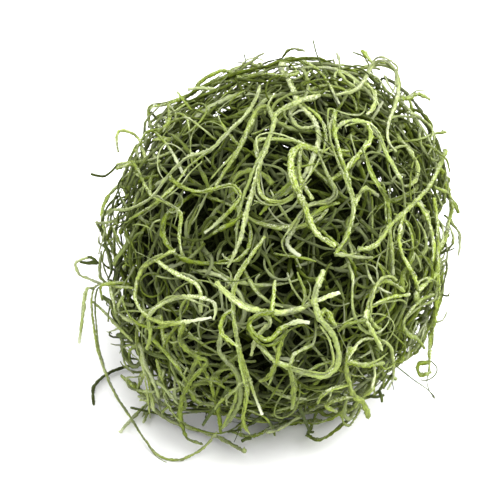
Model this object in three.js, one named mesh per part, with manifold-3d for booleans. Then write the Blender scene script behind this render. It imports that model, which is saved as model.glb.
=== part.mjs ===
// A bunch of Spanish moss: a dense ball of curled, wiry leafy stems tangled round a matted heart.
// Millimetres, +Z up, front towards -Y. The origin is the middle of the small flat it rests on.
import * as THREE from "three";
import { ParametricGeometry } from "three/addons/geometries/ParametricGeometry.js";
import { mergeVertices } from "three/addons/utils/BufferGeometryUtils.js";
import Module from "manifold-3d";

const wasm = await Module();
wasm.setup();

// ---- The ball the stems wind over ----
const BALL = [35, 40, 38]; // half width, half depth, half height
const BALL_MIDDLE = [0, 0, 36];
const CROWN_FULL = 2; // 2 would be an ellipsoid's roundness; more is squarer
const FOOT_FULL = 2.2; // the lower half slumps and is fuller
// Where the ball swells or falls in: a direction in shares of BALL, by how much, how widely.
const SWELLS = [
  { way: [-0.65, -0.25, -0.72], rise: 0.17, spread: 0.12 },
  { way: [0.71, 0.47, 0.53], rise: 0.12, spread: 0.15 },
  { way: [0.51, -0.57, -0.64], rise: -0.1, spread: 0.11 },
  { way: [0, -0.66, -0.75], rise: -0.04, spread: 0.1 },
  { way: [-0.4, 0.55, 0.73], rise: -0.04, spread: 0.12 },
];

// ---- The matted heart ----
const HEART = [23.5, 27, 31];
const HEART_MIDDLE = [0, 0, 29];
const HEART_DENTS = 0.2; // share of the radius its hollows go in
const HEART_FACES = 6; // how finely the heart is faceted
const HEART_CLEAR = 0.7; // bare space kept round the heart
const HOOPS = 42; // short strands standing out of the heart
const HOOP_LENGTH = [18, 28];
const HOOP_LEVEL = [0.72, 0.88]; // shares of the ball's radius

// ---- Strands ----
const STRAND = 0.78; // corner radius of a strand, which has three sides
const SIDES = 3;
const TIP = 0.62; // share of that radius left at a tip
const TIP_RUN = 0.25; // share of a strand over which it narrows
const CAP = 0.35; // how far the end of a strand is drawn out
const STRAND_GAP = 0.26; // least space between strands of two stems
const RING_MOST = 5; // longest straight run between two rings
const RING_LEAST = 2;
const RING_TURN = 0.74; // turn, in radians, that asks for a ring
const FINE_STEP = 0.8;

// ---- Leafy stems that wind round the sides, the back, the top and the underside ----
const STEMS = 27;
const STEM_LENGTH = [36, 54];
const LEAVES = 4;
const LEAF_LENGTH = [22, 38];
const LEAF_CURL = [0.05, 0.2]; // radians of turn for each millimetre
const OUTER_LEVEL = [0.82, 0.99]; // shares of the ball's radius
const FRONT_LEVEL = [0.78, 0.86]; // those that pass under the front stems
const GOLDEN_TURN = 2.399963;
const PLACES = 160; // places over the ball a stem may start from; it takes the barest
const TRIES = 4; // ways a leaf may go; it takes the barest
const CROWD = 8; // how far off, in millimetres, a strand still crowds a place

// ---- The front, laid out on a grid seen from the front, 40 degrees above the floor ----
const GRID = 0.21; // millimetres to a step; x runs right and y runs down
const GRID_MIDDLE = [250, 241];
const BALL_ON_GRID = [278, 247];
const ABOVE = (40 * Math.PI) / 180;
const EYE = 480; // distance of the eye from the ball's middle
const NEAREST = 60; // where a line of sight starts to look for the ball
const SIGHT_STEP = 0.5;
const RIGHT = [1, 0, 0];
const UP = [0, Math.sin(ABOVE), Math.cos(ABOVE)];
const TOWARD = [0, -Math.cos(ABOVE), Math.sin(ABOVE)];

// ---- Settling: strands are eased apart and keep their curl ----
const PASSES = 160;
const LAST_PASSES = 40; // passes that only ease apart
const KEEP_SHAPE = 0.25;
const NEAR = 3; // how far outside the gap a pair is still watched
const RENEW = 8; // passes between two searches for near pairs

const COLOURS = { moss_green: 0x86963f, dead_stem: 0x2c2a18 };

// Front stems. In each, the first line is the stem and the others are leaves, whose first point is
// near the strand they grow from. A line is its lift off the ball at both ends, then grid points.
const FRONT_STEMS = {
  stem_top_left: [
    [0, 1, 243, 80, 232, 73, 222, 71, 210, 74, 200, 82, 195, 91, 183, 98, 165, 104, 151, 107,
      148, 114, 150, 126, 160, 137, 168, 147, 175, 160, 182, 174],
    [1, 0, 168, 148, 158, 156, 145, 160, 128, 162, 115, 164],
    [1, 0, 145, 160, 141, 148, 138, 139, 131, 133, 119, 131, 116, 141, 118, 152],
    [2, 1, 165, 104, 170, 116, 164, 128, 156, 131],
    [0, 0, 232, 73, 240, 66, 250, 64, 260, 67],
  ],
  stem_crown_trunk: [
    [2, 3, 320, 99, 308, 100, 295, 107, 282, 113, 274, 120, 275, 128, 272, 138, 267, 149, 261, 164,
      257, 180, 250, 202, 245, 222, 241, 240, 232, 262, 228, 269],
    [3, 1, 276, 119, 268, 110, 258, 112, 252, 122, 247, 134, 240, 150, 227, 170, 216, 188],
    [2, 2, 258, 175, 260, 186, 267, 195, 278, 199, 291, 193, 300, 184, 308, 173, 312, 162],
    [3, 1, 262, 158, 255, 151, 260, 143, 275, 140, 295, 144, 315, 151, 334, 158],
    [2, 0, 247, 212, 238, 220, 225, 229, 210, 237],
  ],
  stem_crown_left: [
    [1, 2, 262, 88, 256, 104, 247, 118, 233, 130, 226, 140, 213, 152, 200, 156, 184, 164, 173, 176,
      163, 191, 150, 204, 130, 213, 113, 217, 107, 240, 101, 258],
    [1, 2, 211, 153, 199, 163, 185, 174, 177, 187, 165, 199, 148, 211, 131, 221],
    [2, 3, 173, 176, 181, 187, 192, 193, 208, 193, 224, 188, 235, 187, 242, 193, 240, 203, 228, 216,
      214, 227, 206, 234],
    [2, 1, 152, 203, 148, 190, 143, 177, 135, 164],
    [1, 2, 161, 195, 171, 207, 182, 214, 184, 228, 181, 242, 184, 258],
  ],
  stem_crown_right: [
    [0, 1, 287, 58, 281, 67, 288, 76, 293, 87, 297, 98, 304, 109, 314, 117, 320, 128, 319, 141,
      316, 151, 311, 163, 304, 175],
    [1, 0, 284, 62, 294, 56, 304, 61, 313, 64, 320, 69, 327, 77, 334, 89, 341, 101],
    [0, 1, 300, 102, 306, 95, 309, 86, 307, 75, 303, 65],
    [1, 2, 319, 131, 328, 142, 340, 148, 352, 150],
    [1, 2, 297, 98, 291, 110, 295, 121, 304, 127, 316, 124],
  ],
  stem_middle_loops: [
    [3, 3, 314, 158, 300, 153, 290, 159, 286, 171, 287, 183, 292, 194, 298, 206, 302, 221, 309, 236,
      320, 247, 331, 253],
    [3, 2, 311, 157, 319, 171, 327, 186, 332, 196, 329, 203, 318, 204, 305, 210, 296, 224, 288, 240,
      287, 250, 299, 258],
    [1, 1, 288, 188, 278, 200, 264, 210, 254, 222],
    [2, 0, 304, 228, 318, 215, 336, 209],
    [2, 1, 302, 155, 297, 170, 300, 185, 304, 196, 312, 204],
  ],
  stem_right_arches: [
    [4, 2, 334, 112, 332, 127, 336, 143, 340, 160, 346, 178, 352, 196, 353, 208, 349, 228, 342, 244,
      334, 255],
    [3, 1, 334, 133, 342, 124, 356, 121, 369, 125, 378, 135, 382, 148, 389, 160, 400, 180],
    [2, 0, 368, 125, 369, 138, 358, 149, 351, 159, 341, 168, 326, 178],
    [2, 1, 353, 199, 361, 191, 370, 191, 379, 196],
    [2, 2, 339, 249, 348, 257, 360, 258, 372, 258],
  ],
  stem_right_drape: [
    [0, 3, 441, 152, 436, 165, 428, 184, 415, 200, 401, 214, 387, 228, 378, 240, 371, 249, 356, 250],
    [2, 2, 388, 227, 386, 214, 382, 199, 374, 187, 366, 175, 361, 162, 357, 150],
    [2, 1, 398, 217, 395, 238, 396, 254, 402, 268, 408, 281, 411, 294],
    [1, 1, 413, 203, 425, 220, 431, 242, 430, 262],
    [2, 1, 392, 223, 390, 244, 390, 262, 391, 276],
  ],
  stem_top_right: [
    [1, 1, 335, 97, 345, 95, 356, 91, 364, 81, 371, 68, 381, 61, 391, 66, 397, 78, 398, 92, 394, 108,
      388, 126, 388, 140, 396, 152],
    [0, 0, 396, 104, 409, 98, 424, 93, 430, 100],
    [1, 0, 391, 118, 408, 117, 423, 121, 433, 132, 434, 144, 428, 156],
    [0, 0, 371, 70, 365, 61, 361, 51],
    [1, 2, 364, 81, 372, 92, 374, 106, 366, 116],
  ],
  stem_left_ring: [
    [2, 2, 176, 250, 164, 255, 152, 262, 143, 269, 138, 280, 136, 294, 139, 306, 147, 315, 160, 321,
      174, 324, 188, 321, 200, 319, 212, 317],
    [2, 1, 156, 261, 171, 270, 185, 278, 197, 284, 202, 296, 202, 312],
    [3, 2, 151, 317, 157, 308, 167, 301, 182, 297, 198, 297, 212, 300, 219, 308, 217, 320],
    [2, 3, 178, 323, 180, 335, 187, 349, 200, 358, 209, 361, 199, 371, 189, 385, 183, 399, 181, 412,
      184, 427, 190, 438, 204, 443],
    [1, 0, 146, 314, 152, 328, 151, 342, 148, 350],
  ],
  stem_trailing_loop: [
    [0, 0, 132, 290, 114, 288, 100, 285, 92, 293, 92, 312, 94, 329, 97, 348, 103, 366, 110, 385,
      120, 403, 130, 417, 139, 431, 147, 443, 154, 452, 164, 458, 175, 460, 186, 458, 197, 452,
      207, 444, 217, 431],
    [0, 0, 98, 285, 91, 279, 84, 279, 77, 272, 76, 263, 82, 257, 92, 257],
    [1, 0, 94, 290, 86, 291, 83, 306, 82, 326, 79, 344],
    [0, 0, 92, 298, 100, 307, 113, 319, 126, 330, 137, 340],
    [-1, -1, 118, 288, 112, 298, 118, 305, 128, 308],
  ],
  stem_lower_middle: [
    [2, 2, 270, 236, 260, 251, 250, 264, 243, 275, 240, 290, 240, 306, 242, 322, 246, 340, 252, 360,
      258, 378, 262, 392, 266, 403, 270, 413],
    [2, 3, 240, 300, 231, 312, 227, 322, 226, 332, 233, 342, 244, 347],
    [3, 1, 230, 339, 222, 349, 230, 361, 239, 372, 242, 386, 241, 400, 234, 414, 222, 427],
    [3, 2, 241, 346, 243, 360, 248, 376, 249, 392, 246, 408, 244, 422, 250, 434],
    [1, 1, 256, 372, 247, 386, 232, 396, 222, 408],
  ],
  stem_coil: [
    [3, 1, 217, 282, 225, 292, 235, 300, 247, 306, 262, 311, 276, 312, 290, 311, 303, 307, 313, 302,
      326, 298, 340, 292],
    [4, 3, 273, 312, 258, 315, 250, 324, 256, 334, 267, 340, 277, 336, 285, 327, 296, 322, 310, 323],
    [2, 1, 304, 306, 307, 297, 302, 286, 298, 272],
    [2, 1, 272, 310, 274, 296, 276, 280],
    [2, 1, 262, 311, 270, 322, 264, 331, 252, 341, 249, 356],
  ],
  stem_big_loop: [
    [2, 3, 320, 268, 317, 281, 312, 291, 311, 303, 315, 313, 323, 323, 331, 334, 336, 347, 336, 360,
      330, 370, 321, 375, 309, 374, 296, 369, 285, 364, 272, 360, 261, 353, 257, 343],
    [3, 2, 284, 364, 281, 350, 280, 338, 286, 328],
    [3, 2, 288, 364, 294, 353, 303, 346, 312, 344],
    [3, 1, 292, 367, 292, 380, 293, 394, 291, 408],
    [2, 2, 276, 362, 270, 374, 258, 380],
    [2, 1, 313, 306, 321, 307, 328, 315, 332, 324],
  ],
  stem_right_rings: [
    [2, 1, 404, 288, 393, 279, 381, 279, 373, 287, 369, 299, 368, 312, 372, 320, 380, 326],
    [2, 1, 369, 309, 376, 301, 386, 296, 398, 293, 412, 291],
    [2, 1, 368, 305, 364, 315, 367, 326, 373, 335, 377, 344],
    [1, 1, 367, 314, 356, 317, 344, 321, 336, 328],
    [1, 0, 398, 281, 404, 272, 412, 262, 416, 250],
  ],
  stem_right_fringe: [
    [1, 0, 433, 198, 436, 220, 437, 242, 436, 264, 437, 284, 434, 308, 430, 330, 428, 350, 428, 372],
    [1, 2, 435, 292, 420, 300, 409, 311, 403, 323, 406, 333, 416, 338, 424, 348],
    [0, 0, 428, 361, 419, 362, 416, 369, 421, 376, 430, 372],
    [0, 0, 437, 252, 444, 240, 449, 222, 453, 205, 447, 188, 444, 171, 434, 158],
    [0, 0, 436, 278, 424, 284, 415, 294, 416, 304],
  ],
  stem_left_fringe: [
    [0, -1, 166, 300, 150, 312, 138, 322, 134, 336, 138, 352, 145, 368, 150, 384, 153, 398, 155, 409],
    [0, 0, 137, 344, 128, 350, 128, 362],
    [0, 0, 135, 340, 141, 350, 144, 362, 151, 375, 157, 386, 160, 397],
    [0, 0, 138, 325, 124, 318, 121, 306, 126, 296],
    [0, 0, 146, 370, 141, 380, 138, 389, 146, 392, 149, 399, 141, 399],
    [0, -24, 152, 392, 154, 402, 156, 411],
  ],
  stem_left_foot: [
    [-1, -1, 160, 316, 160, 330, 165, 344, 158, 352, 157, 364, 161, 377, 163, 390, 168, 401, 176, 406],
    [-1, -2, 163, 338, 171, 336, 172, 348, 176, 359, 183, 367, 194, 370, 206, 368, 218, 371],
    [-1, -1, 160, 322, 148, 322, 144, 334, 145, 346, 150, 352],
    [0, -1, 162, 345, 176, 328, 181, 342, 184, 352, 196, 358, 210, 360],
    [-1, -1, 159, 370, 151, 378, 154, 388, 149, 397],
  ],
  stem_foot_curls: [
    [0, 0, 198, 362, 206, 372, 210, 384, 213, 396, 217, 408, 219, 421, 220, 437],
    [-1, -1, 211, 388, 200, 384, 193, 392, 196, 402, 207, 407, 216, 406],
    [-1, -1, 208, 378, 220, 374, 231, 367, 239, 358],
    [-1, -1, 203, 368, 193, 375, 187, 386, 177, 391, 177, 399, 187, 400],
    [-1, -1, 214, 398, 221, 390, 226, 380, 237, 376],
  ],
  stem_front_low: [
    [1, -3, 348, 338, 344, 354, 346, 370, 350, 383, 360, 389, 365, 404],
    [2, 1, 345, 352, 358, 356, 371, 360, 382, 356],
    [0, -2, 347, 377, 334, 378, 322, 384, 316, 394],
    [0, -1, 352, 384, 340, 390, 328, 391, 324, 398, 334, 402],
    [1, 0, 346, 345, 358, 337, 372, 336, 388, 340, 392, 356, 390, 374, 383, 387],
  ],
};

// Strands that lie out on the floor round the foot of the ball.
const FLOOR_STEMS = {
  stem_front_floor: [
    [0, 0, 322, 421, 306, 421, 291, 423, 274, 427, 259, 434, 246, 437, 232, 432],
    [0, 0, 296, 422, 286, 410, 279, 398, 276, 386],
    [0, 0, 270, 429, 262, 418, 252, 422, 244, 428],
  ],
  stem_left_floor: [
    [0, 0, 181, 409, 170, 411, 160, 410, 150, 407, 140, 413, 130, 424, 117, 438],
    [0, 0, 151, 407, 146, 418, 140, 429],
    [0, 0, 147, 408, 139, 400, 129, 389, 118, 381],
    [0, 0, 168, 411, 160, 404, 150, 402],
  ],
};
const LIES_STILL = new Set(["stem_front_floor"]); // the rest give way to its main strand
const DEAD_STEMS = {
  dead_stem_left: [[0, 0, 200, 372, 178, 368, 156, 364, 138, 365, 128, 366, 115, 370, 103, 377,
    95, 386, 92, 396, 95, 404]],
  dead_stem_low: [[0, 0, 128, 416, 138, 418, 150, 421, 159, 424, 168, 427, 177, 426]],
};

// ---- Small vector sums ----
const add = (p, q, s = 1) => [p[0] + q[0] * s, p[1] + q[1] * s, p[2] + q[2] * s];
const scaled = (p, s) => [p[0] * s, p[1] * s, p[2] * s];
const dot = (p, q) => p[0] * q[0] + p[1] * q[1] + p[2] * q[2];
const cross = (p, q) => [
  p[1] * q[2] - p[2] * q[1],
  p[2] * q[0] - p[0] * q[2],
  p[0] * q[1] - p[1] * q[0],
];
const length = (p) => Math.sqrt(dot(p, p));
const unit = (p) => scaled(p, 1 / (length(p) || 1));
const apart = (p, q) => length(add(p, q, -1));
const clamp = (x, low, high) => Math.min(high, Math.max(low, x));
const between = (range, t) => range[0] + (range[1] - range[0]) * t;

// Turns p about a unit axis.
function turned(p, axis, angle) {
  const c = Math.cos(angle);
  const along = add(scaled(p, c), cross(axis, p), Math.sin(angle));
  return add(along, axis, dot(axis, p) * (1 - c));
}

// Even draws between 0 and 1, the same for the same seed.
function drawer(seed) {
  let state = seed;
  return () => {
    state = (state * 48271) % 2147483647;
    return state / 2147483647;
  };
}

// ---- The ball and the heart as fields: 1 at the surface, less inside and more outside ----
function heartLevel(p) {
  return length(HEART.map((half, n) => (p[n] - HEART_MIDDLE[n]) / half));
}
function outOfHeart(p) {
  return unit(HEART.map((half, n) => (p[n] - HEART_MIDDLE[n]) / half ** 2));
}
// How far off the ball's surface is in a direction, both in shares of BALL.
function reachAlong(way) {
  const full = way[2] < 0 ? FOOT_FULL : CROWN_FULL;
  const flat = Math.hypot(way[0], way[1]);
  let reach = 1 / (flat ** full + Math.abs(way[2]) ** full) ** (1 / full);
  for (const swell of SWELLS) {
    reach *= 1 + swell.rise * Math.exp((dot(way, swell.way) - 1) / swell.spread);
  }
  return reach;
}
function ballLevel(p) {
  const q = BALL.map((half, n) => (p[n] - BALL_MIDDLE[n]) / half);
  return length(q) / reachAlong(unit(q));
}
function outOfBall(p) {
  const here = ballLevel(p);
  return unit([0, 1, 2].map((n) => ballLevel(p.map((x, m) => (m === n ? x + 0.01 : x))) - here));
}

// ---- From the front grid to the ball ----
const GRID_ORIGIN = add(
  add(BALL_MIDDLE, RIGHT, (GRID_MIDDLE[0] - BALL_ON_GRID[0]) * GRID),
  UP,
  (BALL_ON_GRID[1] - GRID_MIDDLE[1]) * GRID,
);

function pointAt(x, y, nearness) {
  const shrink = (GRID * (EYE - nearness)) / EYE;
  const p = add(GRID_ORIGIN, RIGHT, (x - GRID_MIDDLE[0]) * shrink);
  return add(add(p, UP, (GRID_MIDDLE[1] - y) * shrink), TOWARD, nearness);
}
function floorNearness(y) {
  const up = (GRID_MIDDLE[1] - y) * GRID * UP[2];
  return (STRAND - GRID_ORIGIN[2] - up) / (TOWARD[2] - up / EYE);
}
// Where the line of sight enters the ball, or passes nearest to it.
function ballNearness(x, y) {
  let best = 0;
  let least = Infinity;
  for (let nearness = NEAREST; nearness > -NEAREST; nearness -= SIGHT_STEP) {
    const level = ballLevel(pointAt(x, y, nearness));
    if (level < 1) return nearness + (SIGHT_STEP * (1 - level)) / (least - level);
    if (level < least) {
      least = level;
      best = nearness;
    }
  }
  return best;
}
function frontPoint(x, y, lift) {
  return pointAt(x, y, Math.max(ballNearness(x, y) + lift, floorNearness(y)));
}
const floorPoint = (x, y) => pointAt(x, y, floorNearness(y));

// ---- Lines ----
// A smooth line through the points, at about FINE_STEP.
function smoothLine(points) {
  const line = [];
  for (let i = 0; i + 1 < points.length; i += 1) {
    const before = points[Math.max(i - 1, 0)];
    const a = points[i];
    const b = points[i + 1];
    const after = points[Math.min(i + 2, points.length - 1)];
    const steps = Math.max(2, Math.ceil(apart(a, b) / FINE_STEP));
    for (let k = 0; k < steps; k += 1) {
      const t = k / steps;
      line.push(
        a.map(
          (_, n) =>
            0.5 *
            (2 * a[n] +
              (b[n] - before[n]) * t +
              (2 * before[n] - 5 * a[n] + 4 * b[n] - after[n]) * t * t +
              (3 * a[n] - before[n] - 3 * b[n] + after[n]) * t * t * t),
        ),
      );
    }
  }
  line.push(points[points.length - 1]);
  return line;
}

// Keeps the points a strand needs: close together where it curls, further apart where it is straight.
function thinned(line) {
  const kept = [line[0]];
  const left = line.map(() => 0);
  for (let i = line.length - 2; i >= 0; i -= 1) left[i] = left[i + 1] + apart(line[i], line[i + 1]);
  let run = 0;
  let turn = 0;
  for (let i = 1; i < line.length - 1; i += 1) {
    const before = unit(add(line[i], line[i - 1], -1));
    const after = unit(add(line[i + 1], line[i], -1));
    run += apart(line[i], line[i - 1]);
    turn += Math.acos(clamp(dot(before, after), -1, 1));
    const due = turn > RING_TURN || run > RING_MOST;
    if (due && run > RING_LEAST && left[i] > RING_LEAST) {
      kept.push(line[i]);
      run = 0;
      turn = 0;
    }
  }
  kept.push(line[line.length - 1]);
  return kept;
}

// A strand that turns about the way out of the ball as it goes, and sways between levels.
function wander(start, heading, way) {
  const line = [start];
  let p = start;
  let h = unit(heading);
  const steps = Math.round(way.length / FINE_STEP);
  for (let k = 0; k < steps; k += 1) {
    const s = k / steps;
    const out = outOfBall(p);
    const axis = unit(add(out, way.lean));
    const curl = way.curl * (0.55 + 0.9 * s + 0.5 * Math.sin(way.phase + 5 * s));
    h = turned(h, axis, curl * FINE_STEP);
    const wanted = way.level + way.sway * Math.sin(2 * way.phase + 7 * s);
    const off = wanted - ballLevel(p);
    const climb = clamp(4 * off, -0.6, 0.6) - dot(h, out);
    h = unit(add(h, out, 0.22 * climb));
    p = add(p, h, FINE_STEP);
    if (p[2] < STRAND) p = [p[0], p[1], STRAND];
    line.push(p);
  }
  return line;
}

// ---- The strands of every node ----
const points = []; // every ring centre of every strand
const strands = []; // { node, first, count, root, held }

function addStrand(node, line, root = -1, held = false) {
  const kept = thinned(line);
  if (root >= 0) kept[0] = points[root];
  strands.push({ node, first: points.length, count: kept.length, root, held });
  points.push(...kept);
}
// The ring nearest to p among those of the node's strands so far.
function nearestRing(node, p) {
  let best = -1;
  for (const s of strands) {
    if (s.node !== node) continue;
    for (let i = s.first; i < s.first + s.count; i += 1) {
      if (best < 0 || apart(points[i], p) < apart(points[best], p)) best = i;
    }
  }
  return best;
}

function layStems(stems, place) {
  for (const [node, lines] of Object.entries(stems)) {
    lines.forEach((numbers, n) => {
      const [near, far, ...grid] = numbers;
      const count = grid.length / 2;
      const laid = [];
      for (let i = 0; i < count; i += 1) {
        const lift = near + ((far - near) * i) / (count - 1);
        laid.push(place(grid[2 * i], grid[2 * i + 1], lift));
      }
      if (n === 0) {
        addStrand(node, smoothLine(laid));
        return;
      }
      const root = nearestRing(node, laid[0]);
      const rest = laid.filter((p, i) => i > 0 || apart(p, points[root]) > 2.2);
      addStrand(node, smoothLine([points[root], ...rest]), root);
    });
  }
}

// How crowded p is by the strands so far.
function crowdAt(p) {
  return points.reduce((sum, q) => sum + Math.exp(-((apart(p, q) / CROWD) ** 2)), 0);
}
function crowdAlong(line) {
  let sum = 0;
  for (let i = 8; i < line.length; i += 4) sum += crowdAt(line[i]);
  return sum / line.length;
}
function onSpiral(k, count, top, span) {
  const up = top - (span * (k + 0.5)) / count;
  const flat = Math.sqrt(1 - up * up);
  return [flat * Math.cos(k * GOLDEN_TURN), flat * Math.sin(k * GOLDEN_TURN), up];
}
function levelToward(way, t) {
  return between(dot(way, TOWARD) > 0.3 ? FRONT_LEVEL : OUTER_LEVEL, t);
}
function onBall(way, level) {
  const p = add(BALL_MIDDLE, BALL.map((half, n) => half * way[n]), level * reachAlong(way));
  return [p[0], p[1], Math.max(p[2], STRAND)];
}

function growHoops(node) {
  const draw = drawer(7411);
  for (let k = 0; k < HOOPS; k += 1) {
    const way = onSpiral(k, HOOPS, 0.97, 1.8);
    const start = HEART_MIDDLE.map((m, n) => m + HEART[n] * way[n] * 0.84);
    const along = unit(cross(way, [draw() - 0.5, draw() - 0.5, draw() - 0.5]));
    const line = wander(start, add(scaled(way, 1.3), along), {
      length: between(HOOP_LENGTH, draw()),
      curl: between([0.06, 0.2], draw()) * (draw() < 0.5 ? -1 : 1),
      lean: scaled(along, 0.8),
      phase: 6.3 * draw(),
      level: between(HOOP_LEVEL, draw()),
      sway: 0.05,
    });
    addStrand(node, line, -1, true);
  }
}

function growStem(node, k) {
  const draw = drawer(90001 + 7919 * k);
  const wanted = draw();
  const places = Array.from({ length: PLACES }, (_, i) => onSpiral(i, PLACES, 0.97, 1.92));
  const crowds = places.map((way) => crowdAt(onBall(way, levelToward(way, 0.5))));
  const way = places[crowds.indexOf(Math.min(...crowds))];
  const level = levelToward(way, wanted);
  const side = draw() < 0.5 ? -1 : 1;
  const heading = turned(unit(cross(way, TOWARD)), way, 6.3 * draw());
  const half = {
    length: between(STEM_LENGTH, draw()) / 2,
    curl: side * between([0.03, 0.11], draw()),
    lean: [draw() - 0.5, draw() - 0.5, draw() - 0.5],
    phase: 6.3 * draw(),
    level,
    sway: 0.05,
  };
  // The stem passes through its place: it is grown from there both ways.
  const start = onBall(way, level);
  const back = wander(start, scaled(heading, -1), { ...half, curl: -0.6 * half.curl });
  addStrand(node, [...back.reverse().slice(0, -1), ...wander(start, heading, half)]);
  const trunk = strands[strands.length - 1];
  for (let j = 0; j < LEAVES; j += 1) {
    const hand = j % 2 ? 1 : -1;
    const at = trunk.first + Math.round(((j + 0.35) / LEAVES) * (trunk.count - 2));
    const out = outOfBall(points[at]);
    const ahead = unit(add(points[at + 1], points[at], -1));
    let best = null;
    let least = Infinity;
    for (let n = 0; n < TRIES; n += 1) {
      const to = n % 2 ? -hand : hand;
      const leaf = wander(points[at], turned(ahead, out, to * between([0.5, 1.2], draw())), {
        length: between(LEAF_LENGTH, draw()),
        curl: to * between(LEAF_CURL, draw()) * (draw() < 0.3 ? -1 : 1),
        lean: [1.8 * (draw() - 0.5), 1.8 * (draw() - 0.5), 1.8 * (draw() - 0.5)],
        phase: 6.3 * draw(),
        level: level + 0.1 * (draw() - 0.4),
        sway: 0.07,
      });
      const crowd = crowdAlong(leaf);
      if (crowd < least) {
        least = crowd;
        best = leaf;
      }
    }
    addStrand(node, best, at);
  }
}

growHoops("matted_heart");
layStems(FRONT_STEMS, frontPoint);
layStems(FLOOR_STEMS, floorPoint);
layStems(DEAD_STEMS, floorPoint);
for (let k = 0; k < STEMS; k += 1) growStem(`leafy_stem_${String(k + 1).padStart(2, "0")}`, k);

// ---- Settling ----
const segments = [];
strands.forEach((strand, s) => {
  for (let i = strand.first; i + 1 < strand.first + strand.count; i += 1) {
    segments.push({ a: i, b: i + 1, s, node: strand.node });
  }
});

// The closest points of two segments: shares along each, the distance, and the way from one to the other.
function closest(one, two) {
  const [p, q] = [points[one.a], points[two.a]];
  const d1 = add(points[one.b], p, -1);
  const d2 = add(points[two.b], q, -1);
  const r = add(p, q, -1);
  const [a, e, f, c, b] = [dot(d1, d1), dot(d2, d2), dot(d2, r), dot(d1, r), dot(d1, d2)];
  const wide = a * e - b * b;
  let s = wide > 1e-9 ? clamp((b * f - c * e) / wide, 0, 1) : 0.5;
  const t = clamp((b * s + f) / e, 0, 1);
  s = clamp((b * t - c) / a, 0, 1);
  const way = add(add(p, d1, s), add(q, d2, t), -1);
  return { s, t, way, distance: length(way) };
}

function nearPairs(reach) {
  const middles = segments.map((g) => scaled(add(points[g.a], points[g.b]), 0.5));
  const halves = segments.map((g) => apart(points[g.a], points[g.b]) / 2);
  const pairs = [];
  for (let i = 0; i < segments.length; i += 1) {
    for (let j = i + 1; j < segments.length; j += 1) {
      if (segments[i].node === segments[j].node) continue;
      if (apart(middles[i], middles[j]) < halves[i] + halves[j] + reach) pairs.push([i, j]);
    }
  }
  return pairs;
}

const SPACE = 2 * STRAND + STRAND_GAP;
const bends = points.map(() => null);
for (const { first, count } of strands) {
  for (let i = first + 1; i + 1 < first + count; i += 1) {
    bends[i] = add(points[i], add(points[i - 1], points[i + 1]), -0.5);
  }
  bends[first] = add(points[first], points[first + 1], -1);
  bends[first + count - 1] = add(points[first + count - 1], points[first + count - 2], -1);
}

// Moves every ring a little towards the bend it had among its neighbours.
function keepShape() {
  const moved = points.map((p) => p);
  for (const { first, count, root, held } of strands) {
    const last = first + count - 1;
    for (let i = first; i <= last; i += 1) {
      if (i === first && (held || root >= 0)) continue;
      let wanted = bends[i];
      if (i === first) wanted = add(wanted, points[i + 1]);
      else if (i === last) wanted = add(wanted, points[i - 1]);
      else wanted = add(wanted, add(points[i - 1], points[i + 1]), 0.5);
      moved[i] = add(scaled(points[i], 1 - KEEP_SHAPE), wanted, KEEP_SHAPE);
    }
  }
  moved.forEach((p, i) => {
    points[i] = p;
  });
}

// Eases crowded strands apart, and draws a stem that nothing touches to its nearest neighbour.
function ease(pairs, drawing) {
  const push = points.map(() => [0, 0, 0]);
  const pushes = points.map(() => 0);
  const share = (i, way, amount) => {
    push[i] = add(push[i], way, amount);
    pushes[i] += 1;
  };
  const part = ({ i, j, s, t, way, distance }) => {
    const one = segments[i];
    const two = segments[j];
    const out = distance > 1e-4 ? scaled(way, 1 / distance) : outOfBall(points[one.a]);
    const amount = (SPACE + 0.02 - distance) / 2;
    const left = (1 - s) ** 2 + s ** 2;
    const right = (1 - t) ** 2 + t ** 2;
    share(one.a, out, (amount * (1 - s)) / left);
    share(one.b, out, (amount * s) / left);
    share(two.a, out, (-amount * (1 - t)) / right);
    share(two.b, out, (-amount * t) / right);
  };
  const nearest = new Map();
  for (const [i, j] of pairs) {
    const touch = { i, j, ...closest(segments[i], segments[j]) };
    if (touch.distance < SPACE) part(touch);
    for (const node of [segments[i].node, segments[j].node]) {
      const least = nearest.has(node) ? nearest.get(node).distance : Infinity;
      if (touch.distance < least) nearest.set(node, touch);
    }
  }
  if (drawing) {
    for (const touch of nearest.values()) {
      if (touch.distance > SPACE + 0.02) part(touch);
    }
  }
  points.forEach((p, i) => {
    if (pushes[i]) points[i] = add(p, push[i], Math.min(1, 1.6 / pushes[i]));
  });
}

// Strands keep off the floor and off the heart, and a leaf's first ring stays on its stem.
function holdInPlace() {
  for (const { node, first, count, root, held } of strands) {
    for (let i = first; i < first + count; i += 1) {
      let p = LIES_STILL.has(node) && root < 0 ? laidPoints[i] : points[i];
      if (p[2] < STRAND + 0.03) p = [p[0], p[1], STRAND + 0.03];
      if (node !== "matted_heart") {
        const level = heartLevel(p);
        const wanted = 1 + (STRAND + HEART_CLEAR) / HEART[0];
        if (level < wanted) p = add(p, outOfHeart(p), (wanted - level) * HEART[0]);
      }
      points[i] = p;
    }
    if (held) points[first] = laidPoints[first];
    if (root >= 0) points[first] = points[root];
  }
}
const laidPoints = [...points];

let pairs = [];
for (let pass = 0; pass < PASSES + LAST_PASSES; pass += 1) {
  if (pass % RENEW === 0) pairs = nearPairs(SPACE + NEAR);
  if (pass < PASSES) keepShape();
  ease(pairs, pass < PASSES);
  holdInPlace();
}

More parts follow.
